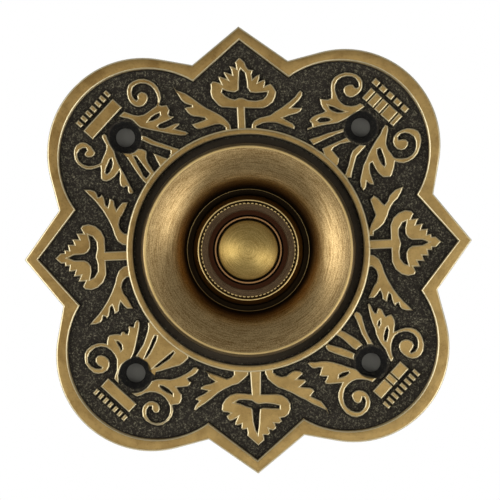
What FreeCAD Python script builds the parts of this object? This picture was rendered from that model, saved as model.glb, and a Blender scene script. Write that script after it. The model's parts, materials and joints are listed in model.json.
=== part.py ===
import FreeCAD, Part
import math
import os

import Sketcher

# Doorbell push button: an ornamental cast brass plate with a turned bell-mouth dish,
# a knurled ring and a domed press button that closes a pair of contacts behind the wall.
# Millimetres. X runs to the right and Z up; the wall is the plane Y = 0 and the face
# of the plate looks along -Y. The origin is the middle of the plate's back.
# Depths are written as "height", the distance in front of the wall; behind it they are negative.

SIZES = [
    ("lobe_centre", 18.0, "offset of each lobe's centre, right and up"),
    ("lobe_radius", 17.0, "radius of the four lobes"),
    ("flank_angle", 12.5, "where a lobe runs into its straight flank, degrees below level"),
    ("flank_length", 5.95, "straight flank from the lobe to the valley"),
    ("point_length", 6.69, "a point beyond its valleys"),
    ("tip_round", 0.7, "rounding of the four points"),
    ("valley_round", 1.2, "rounding of the valleys beside each point"),
    ("rim_edge", 0.35, "chamfer along the outer edge of the rim"),
    ("tip_margin", 2.5, "rim in front of the points of the sunk ground"),
    ("rim_step", 1.2, "lobe radius of the rim less that of the ground"),
    ("ground_shift", 0.8, "lobe centres of the ground nearer to the middle"),
    ("ground_height", 2.8, "sunk ground above the wall"),
    ("rim_rise", 1.2, "rim above the ground"),
    ("relief_rise", 1.0, "ornament above the ground"),
    ("cast_root", 0.5, "what is raised starts this deep in the ground"),
    ("ring_gap", 1.55, "dark groove between dish and raised ring"),
    ("ring_width", 1.2, "raised ring"),
    ("ring_rise", 1.2, "raised ring above the ground"),
    ("ring_edge", 0.3, "chamfers of the raised ring"),
    ("hole_spacing", 42.0, "fixing holes, centre to centre, across and up"),
    ("hole_radius", 1.7, "fixing holes"),
    ("sink_width", 1.2, "countersinks beyond the holes"),
    ("boss_wall", 0.4, "collar round each countersink"),
    ("boss_rise", 0.4, "collar above the ground"),
    ("recess_gap", 1.53, "recess in the plate's back beyond the nut's corners"),
    ("recess_depth", 1.0, "depth of that recess"),
    ("lip_bore", 5.6, "bore of the thin lip round the button"),
    ("lip_wall", 0.35, "wall of that lip"),
    ("lip_rise", 0.6, "lip in front of the barrel's face"),
    ("shoulder_width", 0.7, "shoulder that stops the button's flange"),
    ("barrel_wall", 0.8, "wall of the threaded barrel"),
    ("barrel_sink", 0.7, "barrel's face behind the knurled ring's"),
    ("barrel_front_wall", 1.4, "barrel's face to its shoulder"),
    ("barrel_tail", 1.7, "barrel behind the snap ring"),
    ("thread_gap", 0.05, "play of what is screwed or slipped over the barrel"),
    ("knurl_wall", 1.3, "knurled ring, from the barrel to its rim"),
    ("knurl_thick", 1.6, "knurled ring"),
    ("knurl_depth", 0.22, "depth of its grooves"),
    ("knurl_count", 72, "grooves round the knurled ring"),
    ("hub_play", 0.3, "knurled ring in the dish's hub"),
    ("hub_wall", 0.25, "top edge of the hub"),
    ("hub_slope", 0.95, "width of the hub's outer slope"),
    ("hub_seat", 0.9, "seat of the knurled ring above the dish's floor"),
    ("hub_depth", 1.2, "hub round the knurled ring"),
    ("floor_width", 0.97, "flat floor of the dish round the hub"),
    ("floor_height", 4.5, "floor of the dish above the wall"),
    ("flare_width", 7.03, "bell mouth, from the floor to its crest"),
    ("flare_depth", 5.5, "crest of the bell mouth above the floor"),
    ("lip_roll", 1.05, "crest of the bell mouth to its rim"),
    ("lip_drop", 0.9, "rolled rim below the crest"),
    ("spigot_wall", 1.35, "spigot that centres the dish in the plate"),
    ("spigot_short", 0.2, "spigot short of the plate's web"),
    ("head_gap", 0.25, "button's head in the lip"),
    ("head_stand", 0.4, "edge of the dome in front of the lip"),
    ("dome_rise", 2.3, "height of the dome"),
    ("flange_play", 0.05, "running clearance of the button's flange"),
    ("stop_gap", 0.05, "flange to the shoulder at rest"),
    ("flange_thick", 1.2, "flange of the button"),
    ("stem_radius", 2.0, "stem of the button"),
    ("stem_length", 6.05, "stem behind the flange"),
    ("travel", 1.8, "travel of the button"),
    ("contact_gap", 0.05, "bridge to the contacts when the button is down"),
    ("bridge_gap", 0.375, "bridge inside the spring"),
    ("bridge_thick", 0.8, "contact bridge"),
    ("bridge_shank", 1.0, "shank radius of the bridge's screw"),
    ("bridge_screw", 4.0, "shank length of the bridge's screw"),
    ("bridge_head", 1.45, "head radius of the bridge's screw"),
    ("bridge_head_thick", 0.8, "head of the bridge's screw"),
    ("screw_play", 0.05, "play of a shank in its hole"),
    ("screw_room", 0.5, "hole beyond the end of the bridge's screw"),
    ("base_thick", 3.0, "contact base"),
    ("base_play", 0.05, "contact base in the barrel"),
    ("snap_lip", 0.7, "snap ring inside the barrel's bore"),
    ("snap_grip", 0.35, "snap ring in its groove"),
    ("snap_thick", 0.8, "snap ring"),
    ("snap_opening", 70.0, "opening of the snap ring in degrees"),
    ("groove_play", 0.05, "groove beyond the snap ring on every side"),
    ("post_gap", 0.35, "contact posts beside the bridge's screw head"),
    ("post_head", 1.2, "head radius of a contact post"),
    ("post_rise", 1.45, "head of a contact post in front of the base"),
    ("post_shank", 0.9, "shank radius of a contact post"),
    ("post_rivet", 1.1, "riveted end of a contact post"),
    ("rivet_thick", 0.6, "riveted end of a contact post"),
    ("tab_thick", 0.6, "terminal tabs"),
    ("tab_width", 3.6, "terminal tabs"),
    ("tab_gap", 0.6, "tabs inside the snap ring"),
    ("tab_toe", 1.3, "foot of a tab inside its post"),
    ("tab_bend", 0.3, "inside radius of a tab's bend"),
    ("tab_tail", 2.4, "tab behind its screw"),
    ("terminal_gap", 0.2, "terminal washers behind the barrel"),
    ("terminal_shank", 1.4, "shank radius of a terminal screw"),
    ("terminal_head", 2.5, "head radius of a terminal screw"),
    ("terminal_head_thick", 1.5, "head of a terminal screw"),
    ("terminal_end", 1.7, "terminal screw inside its tab"),
    ("slot_width", 0.6, "driver slot of the screws"),
    ("slot_depth", 0.4, "driver slot of the screws"),
    ("washer_thick", 0.5, "terminal washers"),
    ("washer_radius", 2.6, "terminal washers"),
    ("spring_gap", 1.075, "spring in the barrel"),
    ("spring_wire", 0.55, "spring wire"),
    ("spring_turns", 3, "turns of the spring"),
    ("spring_seat_gap", 0.03, "spring to its two seats"),
    ("washer_bearing", 2.1, "lock washer beyond the dish's spigot"),
    ("lock_washer_thick", 0.7, "lock washer"),
    ("lock_washer_split", 8.0, "split of the lock washer in degrees"),
    ("nut_flats", 19.0, "lock nut across its flats"),
    ("nut_thick", 3.0, "lock nut"),
    ("nut_edge", 0.6, "chamfer of the lock nut's corners"),
]

doc = FreeCAD.newDocument("doorbell_push")
sheet = doc.addObject("Spreadsheet::Sheet", "sizes")
for row, (alias, number, note) in enumerate(SIZES, start=1):
    sheet.set("A%d" % row, alias)
    sheet.set("B%d" % row, str(number))
    sheet.setAlias("B%d" % row, alias)
    sheet.set("C%d" % row, note)
doc.recompute()

NUMBERS = {alias: float(number) for alias, number, note in SIZES}
NAMES = []


class Size:
    """A length that carries its number together with its formula over the sheet."""

    def __init__(self, number, formula):
        self.number = float(number)
        self.formula = formula

    def joined(self, other, sign, number):
        return Size(number, "(%s %s %s)" % (self.formula, sign, as_size(other).formula))

    def __add__(self, other):
        return self.joined(other, "+", self.number + as_size(other).number)

    def __sub__(self, other):
        return self.joined(other, "-", self.number - as_size(other).number)

    def __mul__(self, other):
        return self.joined(other, "*", self.number * as_size(other).number)

    def __truediv__(self, other):
        return self.joined(other, "/", self.number / as_size(other).number)

    def __neg__(self):
        return Size(-self.number, "(0 - %s)" % self.formula)

    def __pow__(self, power):
        return Size(self.number ** power, "(%s ^ %s)" % (self.formula, power))


def as_size(value):
    """A plain number as a Size."""
    if isinstance(value, Size):
        return value
    return Size(value, repr(float(value)))


def size(alias):
    """The Size of one cell of the sheet."""
    return Size(NUMBERS[alias], "sizes.%s" % alias)


def cosine(angle):
    """Cosine of an angle in degrees."""
    return Size(math.cos(math.radians(angle.number)), "cos(%s)" % angle.formula)


def sine(angle):
    """Sine of an angle in degrees."""
    return Size(math.sin(math.radians(angle.number)), "sin(%s)" % angle.formula)


ZERO = as_size(0)

# Cutting outlines reach this far past what they cut.
PAST = 0.5


def new_body(name):
    """A body whose label is the name of its piece."""
    body = doc.addObject("PartDesign::Body", name)
    body.Label = name
    NAMES.append(name)
    return body


def origin_item(body, role):
    """One of the body's own planes or axes."""
    return [item for item in body.Origin.OriginFeatures if item.Role == role][0]


def new_sketch(body, name, plane, lift=None):
    """A sketch on one of the body's planes, raised along the plane's normal by lift."""
    sketch = body.newObject("Sketcher::SketchObject", name)
    sketch.AttachmentSupport = [(origin_item(body, plane), "")]
    sketch.MapMode = "FlatFace"
    if lift is not None:
        sketch.AttachmentOffset = FreeCAD.Placement(FreeCAD.Vector(0, 0, lift.number), FreeCAD.Rotation())
        sketch.setExpression("AttachmentOffset.Base.z", lift.formula)
    return sketch


def bind(sketch, kind, places, value):
    """A driving dimension of the sketch, bound to the sheet."""
    index = sketch.addConstraint(Sketcher.Constraint(kind, *places, value.number))
    sketch.setExpression("Constraints[%d]" % index, value.formula)


def pin_point(sketch, geometry, corner, point):
    """Fix a point of the sketch at its two coordinates."""
    kinds = ("DistanceX", "DistanceY")
    axes = (-2, -1)
    for kind, axis, value in zip(kinds, axes, point):
        if value.number == 0:
            sketch.addConstraint(Sketcher.Constraint("PointOnObject", geometry, corner, axis))
        else:
            bind(sketch, kind, (-1, 1, geometry, corner), value)


def arc_between(start, end, radius, side):
    """A short arc from start to end; side is 1 where its centre lies to the left of the way."""
    chord = end - start
    half = chord.Length / 2
    normal = FreeCAD.Vector(-chord.y, chord.x, 0).normalize()
    centre = (start + end) / 2 + normal * (side * math.sqrt(radius * radius - half * half))
    first, last = (start, end) if side > 0 else (end, start)
    angles = [math.atan2(point.y - centre.y, point.x - centre.x) for point in (first, last)]
    circle = Part.Circle(centre, FreeCAD.Vector(0, 0, 1), radius)
    return Part.ArcOfCircle(circle, angles[0], angles[1])


def add_outline(sketch, points, arcs=None):
    """A closed outline through the points; arcs gives an edge's number its (radius, side)."""
    arcs = arcs or {}
    corners = []
    for index, point in enumerate(points):
        following = points[(index + 1) % len(points)]
        start = FreeCAD.Vector(point[0].number, point[1].number, 0)
        end = FreeCAD.Vector(following[0].number, following[1].number, 0)
        if index in arcs:
            radius, side = arcs[index]
            geometry = sketch.addGeometry(arc_between(start, end, radius.number, side), False)
            corners.append((geometry, 1, 2) if side > 0 else (geometry, 2, 1))
        else:
            geometry = sketch.addGeometry(Part.LineSegment(start, end), False)
            corners.append((geometry, 1, 2))
    for index, (geometry, start, end) in enumerate(corners):
        following = corners[(index + 1) % len(corners)]
        sketch.addConstraint(Sketcher.Constraint("Coincident", geometry, end, following[0], following[1]))
        pin_point(sketch, geometry, start, points[index])
        if index in arcs:
            bind(sketch, "Radius", (geometry,), arcs[index][0])


def add_circle(sketch, centre, radius):
    """A circle in the sketch."""
    middle = FreeCAD.Vector(centre[0].number, centre[1].number, 0)
    circle = Part.Circle(middle, FreeCAD.Vector(0, 0, 1), radius.number)
    geometry = sketch.addGeometry(circle, False)
    pin_point(sketch, geometry, 3, centre)
    bind(sketch, "Radius", (geometry,), radius)


def section(points):
    """Points given as (radius, height) in the sketch of a turned piece."""
    return [(radius, -height) for radius, height in points]


def turned(body, name, points, arcs=None, kind="PartDesign::Revolution"):
    """A feature turned about the button's axis from a half section of (radius, height) points."""
    sketch = new_sketch(body, name + "_section", "XY_Plane")
    add_outline(sketch, section(points), arcs)
    feature = body.newObject(kind, name)
    feature.Profile = sketch
    feature.ReferenceAxis = (sketch, ["V_Axis"])
    feature.Angle = 360
    doc.recompute()
    return feature


def extruded(body, name, sketch, length, kind="PartDesign::Pad", middle=False, reverse=False, refine=True):
    """A pad or pocket of a sketch; refine joins faces that lie in one plane."""
    feature = body.newObject(kind, name)
    feature.Refine = refine
    feature.Profile = sketch
    feature.Length = length.number
    feature.setExpression("Length", length.formula)
    feature.Midplane = middle
    feature.Reversed = reverse
    doc.recompute()
    return feature


def cut_checked(body, name, sketch, length, middle=False, reverse=False):
    """A pocket that is known to remove material."""
    before = body.Shape.Volume
    feature = extruded(body, name, sketch, length, "PartDesign::Pocket", middle, reverse)
    if feature.Shape.Volume > before - 1e-6:
        raise RuntimeError("%s cuts nothing" % name)
    return feature


def bevelled(body, kind, name, base, edges, value):
    """A fillet or chamfer on the named edges of a feature."""
    feature = body.newObject(kind, name)
    feature.Base = (base, edges)
    target = "Radius" if kind.endswith("Fillet") else "Size"
    setattr(feature, target, value.number)
    feature.setExpression(target, value.formula)
    doc.recompute()
    return feature


def edges_where(shape, test):
    """Names of the shape's edges that pass the test."""
    return ["Edge%d" % index for index, edge in enumerate(shape.Edges, start=1) if test(edge)]


def height_of(edge):
    """Height of a level edge in front of the wall, or None where it isn't level."""
    box = edge.BoundBox
    if box.YLength > 1e-6:
        return None
    return -box.YMin


# Sizes that several pieces share

def barrel_bore():
    """Main bore of the barrel."""
    return size("lip_bore") + size("shoulder_width")


def barrel_radius():
    """Outside of the threaded barrel."""
    return barrel_bore() + size("barrel_wall")


def screwed_bore():
    """Bore of the pieces that are screwed or slipped over the barrel."""
    return barrel_radius() + size("thread_gap")


def spigot():
    """Radius of the spigot that centres the dish in the plate."""
    return screwed_bore() + size("spigot_wall")


def hub_seat():
    """Radius of the hub's counterbore."""
    return barrel_radius() + size("knurl_wall") + size("hub_play")


def floor_edge():
    """Radius at which the dish's flat floor turns into the bell mouth."""
    return hub_seat() + size("hub_wall") + size("hub_slope") + size("floor_width")


def dish_crest():
    """Radius at which the bell mouth is highest."""
    return floor_edge() + size("flare_width")


def dish_radius():
    """Outside of the dish."""
    return dish_crest() + size("lip_roll")


def ring_inner():
    """Inside of the raised ring on the plate."""
    return dish_radius() + size("ring_gap")


def valley():
    """A valley of the plate's outline: its places along and across the axis of the point."""
    centre = size("lobe_centre")
    radius = size("lobe_radius")
    angle = size("flank_angle")
    flank = size("flank_length")
    along = centre + radius * cosine(angle) - flank * sine(angle)
    across = centre - radius * sine(angle) - flank * cosine(angle)
    return along, across


def reach():
    """Centre of the plate to each of its four points."""
    return valley()[0] + size("point_length")


def nut_corner():
    """Centre to a corner of the lock nut."""
    return size("nut_flats") / math.sqrt(3)


# Ornament: outlines are drawn in millimetres for a plate of DRAWN_REACH and grow with it.

DRAWN_REACH = 40.0

# Half of the leaf in a point of the plate, given across and along the axis of the point.
LEAF = [
    (0.85, 21.4), (0.85, 25.4), (3.3, 25.4), (4.6, 26.0), (5.5, 27.0), (5.9, 28.2), (5.7, 29.3), (5.2, 29.7),
    (4.25, 29.2), (4.35, 30.5), (3.25, 30.0), (3.4, 31.3), (2.35, 30.9), (2.45, 32.1), (1.4, 31.9), (1.5, 32.7),
    (0.95, 32.7), (0.95, 33.4), (0, 34.4),
]

# Half of the forked vein sunk in that leaf.
VEIN = [
    (0, 27.25), (1.4, 26.9), (2.6, 26.95), (3.6, 27.6), (3.9, 28.3), (2.6, 28.0), (1.6, 28.05), (0.9, 28.5),
    (0.5, 29.2), (0.45, 31.0), (0, 32.1),
]

# The sprig that springs from the ring beside the leaf, across and along.
SPRIG = [
    (1.5, 21.4), (1.6, 22.4), (2.1, 23.0), (3.0, 23.45), (5.0, 23.85), (5.8, 24.4), (7.0, 25.1), (8.2, 25.9),
    (9.5, 26.9), (10.1, 27.7), (10.5, 28.0), (10.9, 27.6), (10.8, 27.0), (10.2, 26.2), (9.2, 25.3), (8.8, 25.0),
    (10.7, 24.9), (10.5, 24.3), (9.8, 23.9), (8.5, 23.6), (7.2, 23.2), (8.0, 22.7), (8.9, 22.2), (9.3, 21.6),
    (9.1, 21.05), (7.8, 21.6), (6.9, 22.0), (6.0, 22.35), (4.8, 22.45), (3.6, 22.4), (2.4, 21.9), (2.4, 21.3),
]

# The acanthus leaf and its scroll in one half of a corner, along the nearer axis and across it.
ACANTHUS = [
    (25.3, 21.2), (25.8, 20.95), (25.85, 20.2), (25.55, 19.1), (25.35, 17.8), (25.65, 16.85), (26.15, 16.1),
    (26.6, 15.4), (27.0, 15.2), (28.0, 15.1), (29.0, 15.2), (29.9, 15.7), (30.4, 16.4), (30.6, 17.2), (30.6, 18.0),
    (30.3, 18.8), (29.5, 19.4), (28.7, 19.6), (28.0, 19.4), (27.5, 18.9), (27.6, 18.4), (28.3, 18.5), (28.9, 18.4),
    (29.3, 18.0), (29.2, 17.3), (28.7, 16.7), (28.0, 16.5), (27.3, 16.7), (26.75, 17.3), (26.5, 18.1), (26.7, 19.0),
    (27.3, 19.7), (28.2, 20.2), (29.2, 20.45), (30.3, 20.3), (31.1, 19.9), (31.5, 19.2), (31.65, 18.2), (31.4, 17.0),
    (30.9, 15.8), (30.1, 14.95), (29.2, 14.45), (28.3, 14.2), (27.5, 14.3), (26.8, 14.55), (26.7, 14.0),
    (26.45, 13.1), (26.15, 12.3), (25.85, 11.85), (24.55, 11.85), (24.0, 12.3), (23.45, 13.0), (23.0, 13.9),
    (22.7, 14.6), (22.35, 14.4), (22.25, 13.5), (22.35, 12.7), (22.6, 11.85), (22.85, 11.0), (22.9, 10.6),
    (22.2, 10.7), (21.6, 11.2), (21.5, 10.5), (21.3, 10.0), (20.9, 9.6), (20.45, 10.3), (20.35, 11.4), (20.7, 12.8),
    (21.05, 14.1), (21.6, 15.15), (22.1, 16.2), (22.85, 17.5), (23.65, 18.7), (24.35, 19.6), (24.7, 20.4),
]

# The slit in that leaf.
SLIT = [
    (24.15, 17.05), (23.75, 16.85), (23.7, 16.2), (24.0, 15.15), (24.45, 14.25), (24.85, 13.85), (25.0, 14.15),
    (24.85, 15.3), (24.55, 16.2), (24.35, 16.85),
]

# Shift of the leaf and scroll, along and across, at the eight places: each quarter's own and its mirrored one.
ACANTHUS_SHIFT = [
    ((0, 0), (-0.7, 1.0)), ((0.2, 0), (-0.4, 0.8)), ((-0.5, 0.3), (-0.5, 0.3)), ((-0.9, 0.3), (-0.7, 0.2)),
]

# Rays that run from each fixing hole to the raised ring.
RAYS = [
    [(11.6, 19.2), (13.2, 19.6), (15.0, 20.2), (17.3, 20.7), (17.9, 20.85), (17.95, 20.25), (16.5, 19.8),
     (14.5, 19.0), (12.4, 18.1)],
    [(13.9, 17.5), (14.4, 15.6), (16.6, 13.4), (17.2, 12.7), (16.3, 14.1), (16.8, 14.9), (16.9, 15.6), (15.7, 17.1),
     (16.0, 17.5), (17.2, 18.1), (18.6, 18.3), (19.2, 18.35), (18.4, 19.3), (17.2, 18.8)],
    [(20.6, 17.9), (19.3, 16.9), (18.9, 16.0), (18.4, 14.3), (17.7, 12.5), (18.1, 12.1), (18.9, 12.0),
     (19.1, 13.0), (19.6, 14.6), (20.0, 15.8), (21.5, 17.3), (21.8, 17.7)],
]

# Bricks on the diagonals: two courses by their distance from the centre, and the joints of each quarter.
INNER_COURSE = (33.6, 36.1)
OUTER_COURSE = (36.75, 37.9)
INNER_JOINTS = [(-3.5, -2.2, -0.6, 0.9, 3.2, 4.3), (-4.0, 4.0), (-4.0, 4.0), (-4.0, -1.3, 1.4, 4.0)]
OUTER_BRICKS = [5, 7, 8, 9]
COURSE_HALF = 4.0
JOINT_WIDTH = 0.25
OUTER_JOINT = 0.4


def quarter_turn(point, quarter):
    """A point of the plate's face turned by quarters of a circle."""
    along, across = point
    turns = ((along, across), (-across, along), (-along, -across), (across, -along))
    return turns[quarter]


def mirrored(half):
    """A whole outline from its half, whose first or last point may lie on the axis."""
    other = [(-across, along) for across, along in reversed(half) if across != 0]
    return half + other


def box_on_diagonal(near, far, left, right):
    """A rectangle given by distances along the diagonal and across it."""
    corners = ((near, left), (far, left), (far, right), (near, right))
    return [((p + q) / math.sqrt(2), (p - q) / math.sqrt(2)) for p, q in corners]


def acanthus_outlines(quarter):
    """The two leaves with scrolls of one corner, and their slits."""
    outlines = []
    for swapped, (along, across) in enumerate(ACANTHUS_SHIFT[quarter]):
        for drawn in (ACANTHUS, SLIT):
            moved = [(major + along, minor + across) for major, minor in drawn]
            outlines.append([(minor, major) for major, minor in moved] if swapped else moved)
    return outlines


def brick_outlines(quarter):
    """Both courses of bricks of one corner."""
    outlines = []
    joints = INNER_JOINTS[quarter]
    half = JOINT_WIDTH / 2
    for left, right in zip(joints, joints[1:]):
        outlines.append(box_on_diagonal(INNER_COURSE[0], INNER_COURSE[1], left + half, right - half))
    count = OUTER_BRICKS[quarter]
    pitch = 2 * COURSE_HALF / count
    for index in range(count):
        left = index * pitch - COURSE_HALF
        outlines.append(box_on_diagonal(OUTER_COURSE[0], OUTER_COURSE[1], left, left + pitch - OUTER_JOINT))
    return outlines


def add_ornament(body):
    """The whole cast relief as one sketch and one pad."""
    scale = reach().number / DRAWN_REACH
    ground = size("ground_height")
    root = size("cast_root")
    sprigs = [SPRIG, [(-across, along) for across, along in SPRIG]]
    sketch = new_sketch(body, "ornament_outlines", "XZ_Plane", ground - root)
    for quarter in range(4):
        outlines = [mirrored(LEAF), mirrored(VEIN)] + sprigs + RAYS
        for outline in outlines + acanthus_outlines(quarter) + brick_outlines(quarter):
            corners = [FreeCAD.Vector(*quarter_turn(point, quarter), 0) * scale for point in outline]
            following = corners[1:] + corners[:1]
            sketch.addGeometry([Part.LineSegment(*pair) for pair in zip(corners, following)], False)
    return extruded(body, "ornament", sketch, root + size("relief_rise"), refine=False)


# Plate

def plate_outline(sketch):
    """Four points and four lobes, each lobe's arc running into straight flanks."""
    along, across = valley()
    centre = size("lobe_centre")
    radius = size("lobe_radius")
    far = centre + radius * cosine(size("flank_angle"))
    near = centre - radius * sine(size("flank_angle"))
    drawn = [(reach(), ZERO), (along, across), (far, near), (near, far), (across, along)]
    points = [quarter_turn(point, quarter) for quarter in range(4) for point in drawn]
    add_outline(sketch, points, {len(drawn) * quarter + 2: (radius, 1) for quarter in range(4)})


def ground_outline(sketch):
    """The sunk ground: sharp points, and lobes whose arcs end at the rim's inner valleys."""
    across = valley()[1]
    centre = size("lobe_centre") - size("ground_shift")
    radius = size("lobe_radius") - size("rim_step")
    along = centre + (radius ** 2 - (centre - across) ** 2) ** 0.5
    drawn = [(reach() - size("tip_margin"), ZERO), (along, across), (across, along)]
    points = [quarter_turn(point, quarter) for quarter in range(4) for point in drawn]
    add_outline(sketch, points, {len(drawn) * quarter + 1: (radius, 1) for quarter in range(4)})


def make_plate():
    """The cast plate: rim, sunk ground, ornament, raised ring, fixing holes and the nut's recess."""
    body = new_body("face_plate")
    ground = size("ground_height")
    thick = ground + size("rim_rise")

    outer = new_sketch(body, "plate_outline", "XZ_Plane")
    plate_outline(outer)
    slab = extruded(body, "slab", outer, thick)

    def stands_at(edge, distance, tolerance=0.01):
        box = edge.BoundBox
        upright = box.XLength < 1e-6 and box.ZLength < 1e-6
        return upright and abs(math.hypot(box.XMin, box.ZMin) - distance) < tolerance

    along, across = valley()
    tips = edges_where(slab.Shape, lambda edge: stands_at(edge, reach().number))
    slab = bevelled(body, "PartDesign::Fillet", "tip_rounds", slab, tips, size("tip_round"))
    valleys = edges_where(slab.Shape, lambda edge: stands_at(edge, math.hypot(along.number, across.number)))
    slab = bevelled(body, "PartDesign::Fillet", "valley_rounds", slab, valleys, size("valley_round"))
    front = edges_where(slab.Shape, lambda edge: height_of(edge) is not None
                        and abs(height_of(edge) - thick.number) < 1e-6)
    bevelled(body, "PartDesign::Chamfer", "rim_bevel", slab, front, size("rim_edge"))

    sunk = new_sketch(body, "ground_outline", "XZ_Plane", thick)
    ground_outline(sunk)
    cut_checked(body, "ground", sunk, size("rim_rise"))

    root = ground - size("cast_root")
    inner = ring_inner()
    rim = inner + size("ring_width")
    crown = ground + size("ring_rise")
    edge = size("ring_edge")
    turned(body, "raised_ring",
           [(inner, root), (rim, root), (rim, crown - edge), (rim - edge, crown), (inner + edge, crown),
            (inner, crown - edge)])

    offset = size("hole_spacing") / 2
    sink = size("sink_width")
    bosses = new_sketch(body, "collar_circles", "XZ_Plane", root)
    for quarter in range(4):
        add_circle(bosses, quarter_turn((offset, offset), quarter), size("hole_radius") + sink + size("boss_wall"))
    mouth = ground + size("boss_rise")
    extruded(body, "hole_collars", bosses, mouth - root)

    holes = new_sketch(body, "hole_circles", "XZ_Plane")
    for quarter in range(4):
        add_circle(holes, quarter_turn((offset, offset), quarter), size("hole_radius"))
    drilled = cut_checked(body, "fixing_holes", holes, thick, reverse=True)
    rims = edges_where(drilled.Shape, lambda edge: height_of(edge) is not None
                       and abs(height_of(edge) - mouth.number) < 1e-6
                       and abs(edge.BoundBox.XLength - 2 * NUMBERS["hole_radius"]) < 1e-6)
    bevelled(body, "PartDesign::Chamfer", "countersinks", drilled, rims, sink)

    recess = new_sketch(body, "recess_circle", "XZ_Plane")
    add_circle(recess, (ZERO, ZERO), nut_corner() + size("recess_gap"))
    cut_checked(body, "nut_recess", recess, size("recess_depth"), reverse=True)
    bore = new_sketch(body, "bore_circle", "XZ_Plane")
    add_circle(bore, (ZERO, ZERO), spigot() + size("thread_gap"))
    cut_checked(body, "centre_bore", bore, thick, reverse=True)

    add_ornament(body)
    return body


# Dish, ring and barrel

FLARE_TURN = 75
FLARE_STEPS = 6
LIP_STEPS = 3


def rolled(start, across, down, turn, steps):
    """Points of a curve that leaves start level and bends down through turn degrees."""
    radius, height = start
    points = []
    for step in range(1, steps + 1):
        angle = math.radians(turn * step / steps)
        whole = math.radians(turn)
        share = math.sin(angle) / math.sin(whole)
        drop = (1 - math.cos(angle)) / (1 - math.cos(whole))
        points.append((radius + across * share, height - down * drop))
    return points


def dish_floor():
    """Height of the dish's floor."""
    return size("floor_height")


def make_dish():
    """The turned bell-mouth dish with its hub and spigot."""
    body = new_body("centre_dish")
    bore = screwed_bore()
    ground = size("ground_height")
    back = size("recess_depth") + size("spigot_short")
    floor = dish_floor()
    crest = (dish_crest(), floor + size("flare_depth"))
    seat = floor + size("hub_seat")
    top = seat + size("hub_depth")
    hub = hub_seat() + size("hub_wall")
    lip = rolled(crest, size("lip_roll"), size("lip_drop"), 90, LIP_STEPS)
    flare = rolled(crest, -size("flare_width"), size("flare_depth"), FLARE_TURN, FLARE_STEPS)
    turned(body, "dish",
           [(bore, back), (spigot(), back), (spigot(), ground), (dish_radius(), ground)]
           + lip[::-1] + [crest] + flare
           + [(hub + size("hub_slope"), floor), (hub, top), (hub_seat(), top), (hub_seat(), seat), (bore, seat)])
    return body


def ring_face():
    """Height of the knurled ring's face."""
    return dish_floor() + size("hub_seat") + size("knurl_thick")


# Half of a knurl's groove as a share of the pitch.
GROOVE_SHARE = 0.36


def make_ring_nut():
    """The knurled ring screwed on the barrel's front end."""
    body = new_body("knurled_ring")
    outer = barrel_radius() + size("knurl_wall")
    thick = size("knurl_thick")
    face = ring_face()
    seat = face - thick
    turned(body, "ring", [(screwed_bore(), seat), (outer, seat), (outer, face), (screwed_bore(), face)])
    depth = size("knurl_depth")
    pitch = 360 / NUMBERS["knurl_count"]
    half = outer * math.sin(math.radians(pitch * GROOVE_SHARE))
    notch = new_sketch(body, "knurl_notch", "XZ_Plane", seat)
    add_outline(notch, [(outer - depth, ZERO), (outer + depth, half * 2), (outer + depth, -half * 2)])
    first = cut_checked(body, "knurl_groove", notch, thick, reverse=True)
    pattern = body.newObject("PartDesign::PolarPattern", "knurl")
    pattern.Originals = [first]
    pattern.Axis = (origin_item(body, "Y_Axis"), [""])
    pattern.Angle = 360
    pattern.Occurrences = int(NUMBERS["knurl_count"])
    pattern.setExpression("Occurrences", size("knurl_count").formula)
    body.Tip = pattern
    doc.recompute()
    return body


def barrel_face():
    """Height of the barrel's front face."""
    return ring_face() - size("barrel_sink")


def shoulder():
    """Height of the shoulder that stops the button."""
    return barrel_face() - size("barrel_front_wall")


def make_barrel():
    """The threaded barrel that holds the button and its contacts."""
    body = new_body("push_barrel")
    outer = barrel_radius()
    face = barrel_face()
    lip_top = face + size("lip_rise")
    lip_bore = size("lip_bore")
    lip_out = lip_bore + size("lip_wall")
    bore = barrel_bore()
    back = barrel_back()
    turned(body, "tube",
           [(lip_bore, shoulder()), (lip_bore, lip_top), (lip_out, lip_top), (lip_out, face),
            (outer, face), (outer, back), (bore, back), (bore, shoulder())])
    play = size("groove_play")
    front = base_back() + play
    rear = snap_back() - play
    inside = bore - PAST
    deep = snap_outer() + play
    turned(body, "snap_groove", [(inside, rear), (deep, rear), (deep, front), (inside, front)],
           kind="PartDesign::Groove")
    return body


# Button and what moves with it

def flange_top():
    """Height of the flange's front face."""
    return shoulder() - size("stop_gap")


def flange_back():
    """Height of the flange's rear face, where the spring bears."""
    return flange_top() - size("flange_thick")


def stem_end():
    """Height of the stem's end, on which the bridge sits."""
    return flange_back() - size("stem_length")


def bridge_back():
    """Height of the bridge's rear face."""
    return stem_end() - size("bridge_thick")


def make_button():
    """The turned button: dome, guided flange and stem, bored for the bridge's screw."""
    body = new_body("press_button")
    head = size("lip_bore") - size("head_gap")
    edge = barrel_face() + size("lip_rise") + size("head_stand")
    rise = size("dome_rise")
    crown = edge + rise
    dome = (head ** 2 + rise ** 2) / (rise * 2)
    flange = barrel_bore() - size("flange_play")
    stem = size("stem_radius")
    hole = size("bridge_shank") + size("screw_play")
    hole_end = bridge_back() + size("bridge_screw") + size("screw_room")
    turned(body, "button",
           [(ZERO, crown), (head, edge), (head, flange_top()), (flange, flange_top()), (flange, flange_back()),
            (stem, flange_back()), (stem, stem_end()), (hole, stem_end()), (hole, hole_end), (ZERO, hole_end)],
           {0: (dome, 1)})
    return body


def spring_radius():
    """Axis of the spring to the middle of its wire."""
    return barrel_bore() - size("spring_gap") - size("spring_wire") / 2


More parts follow.
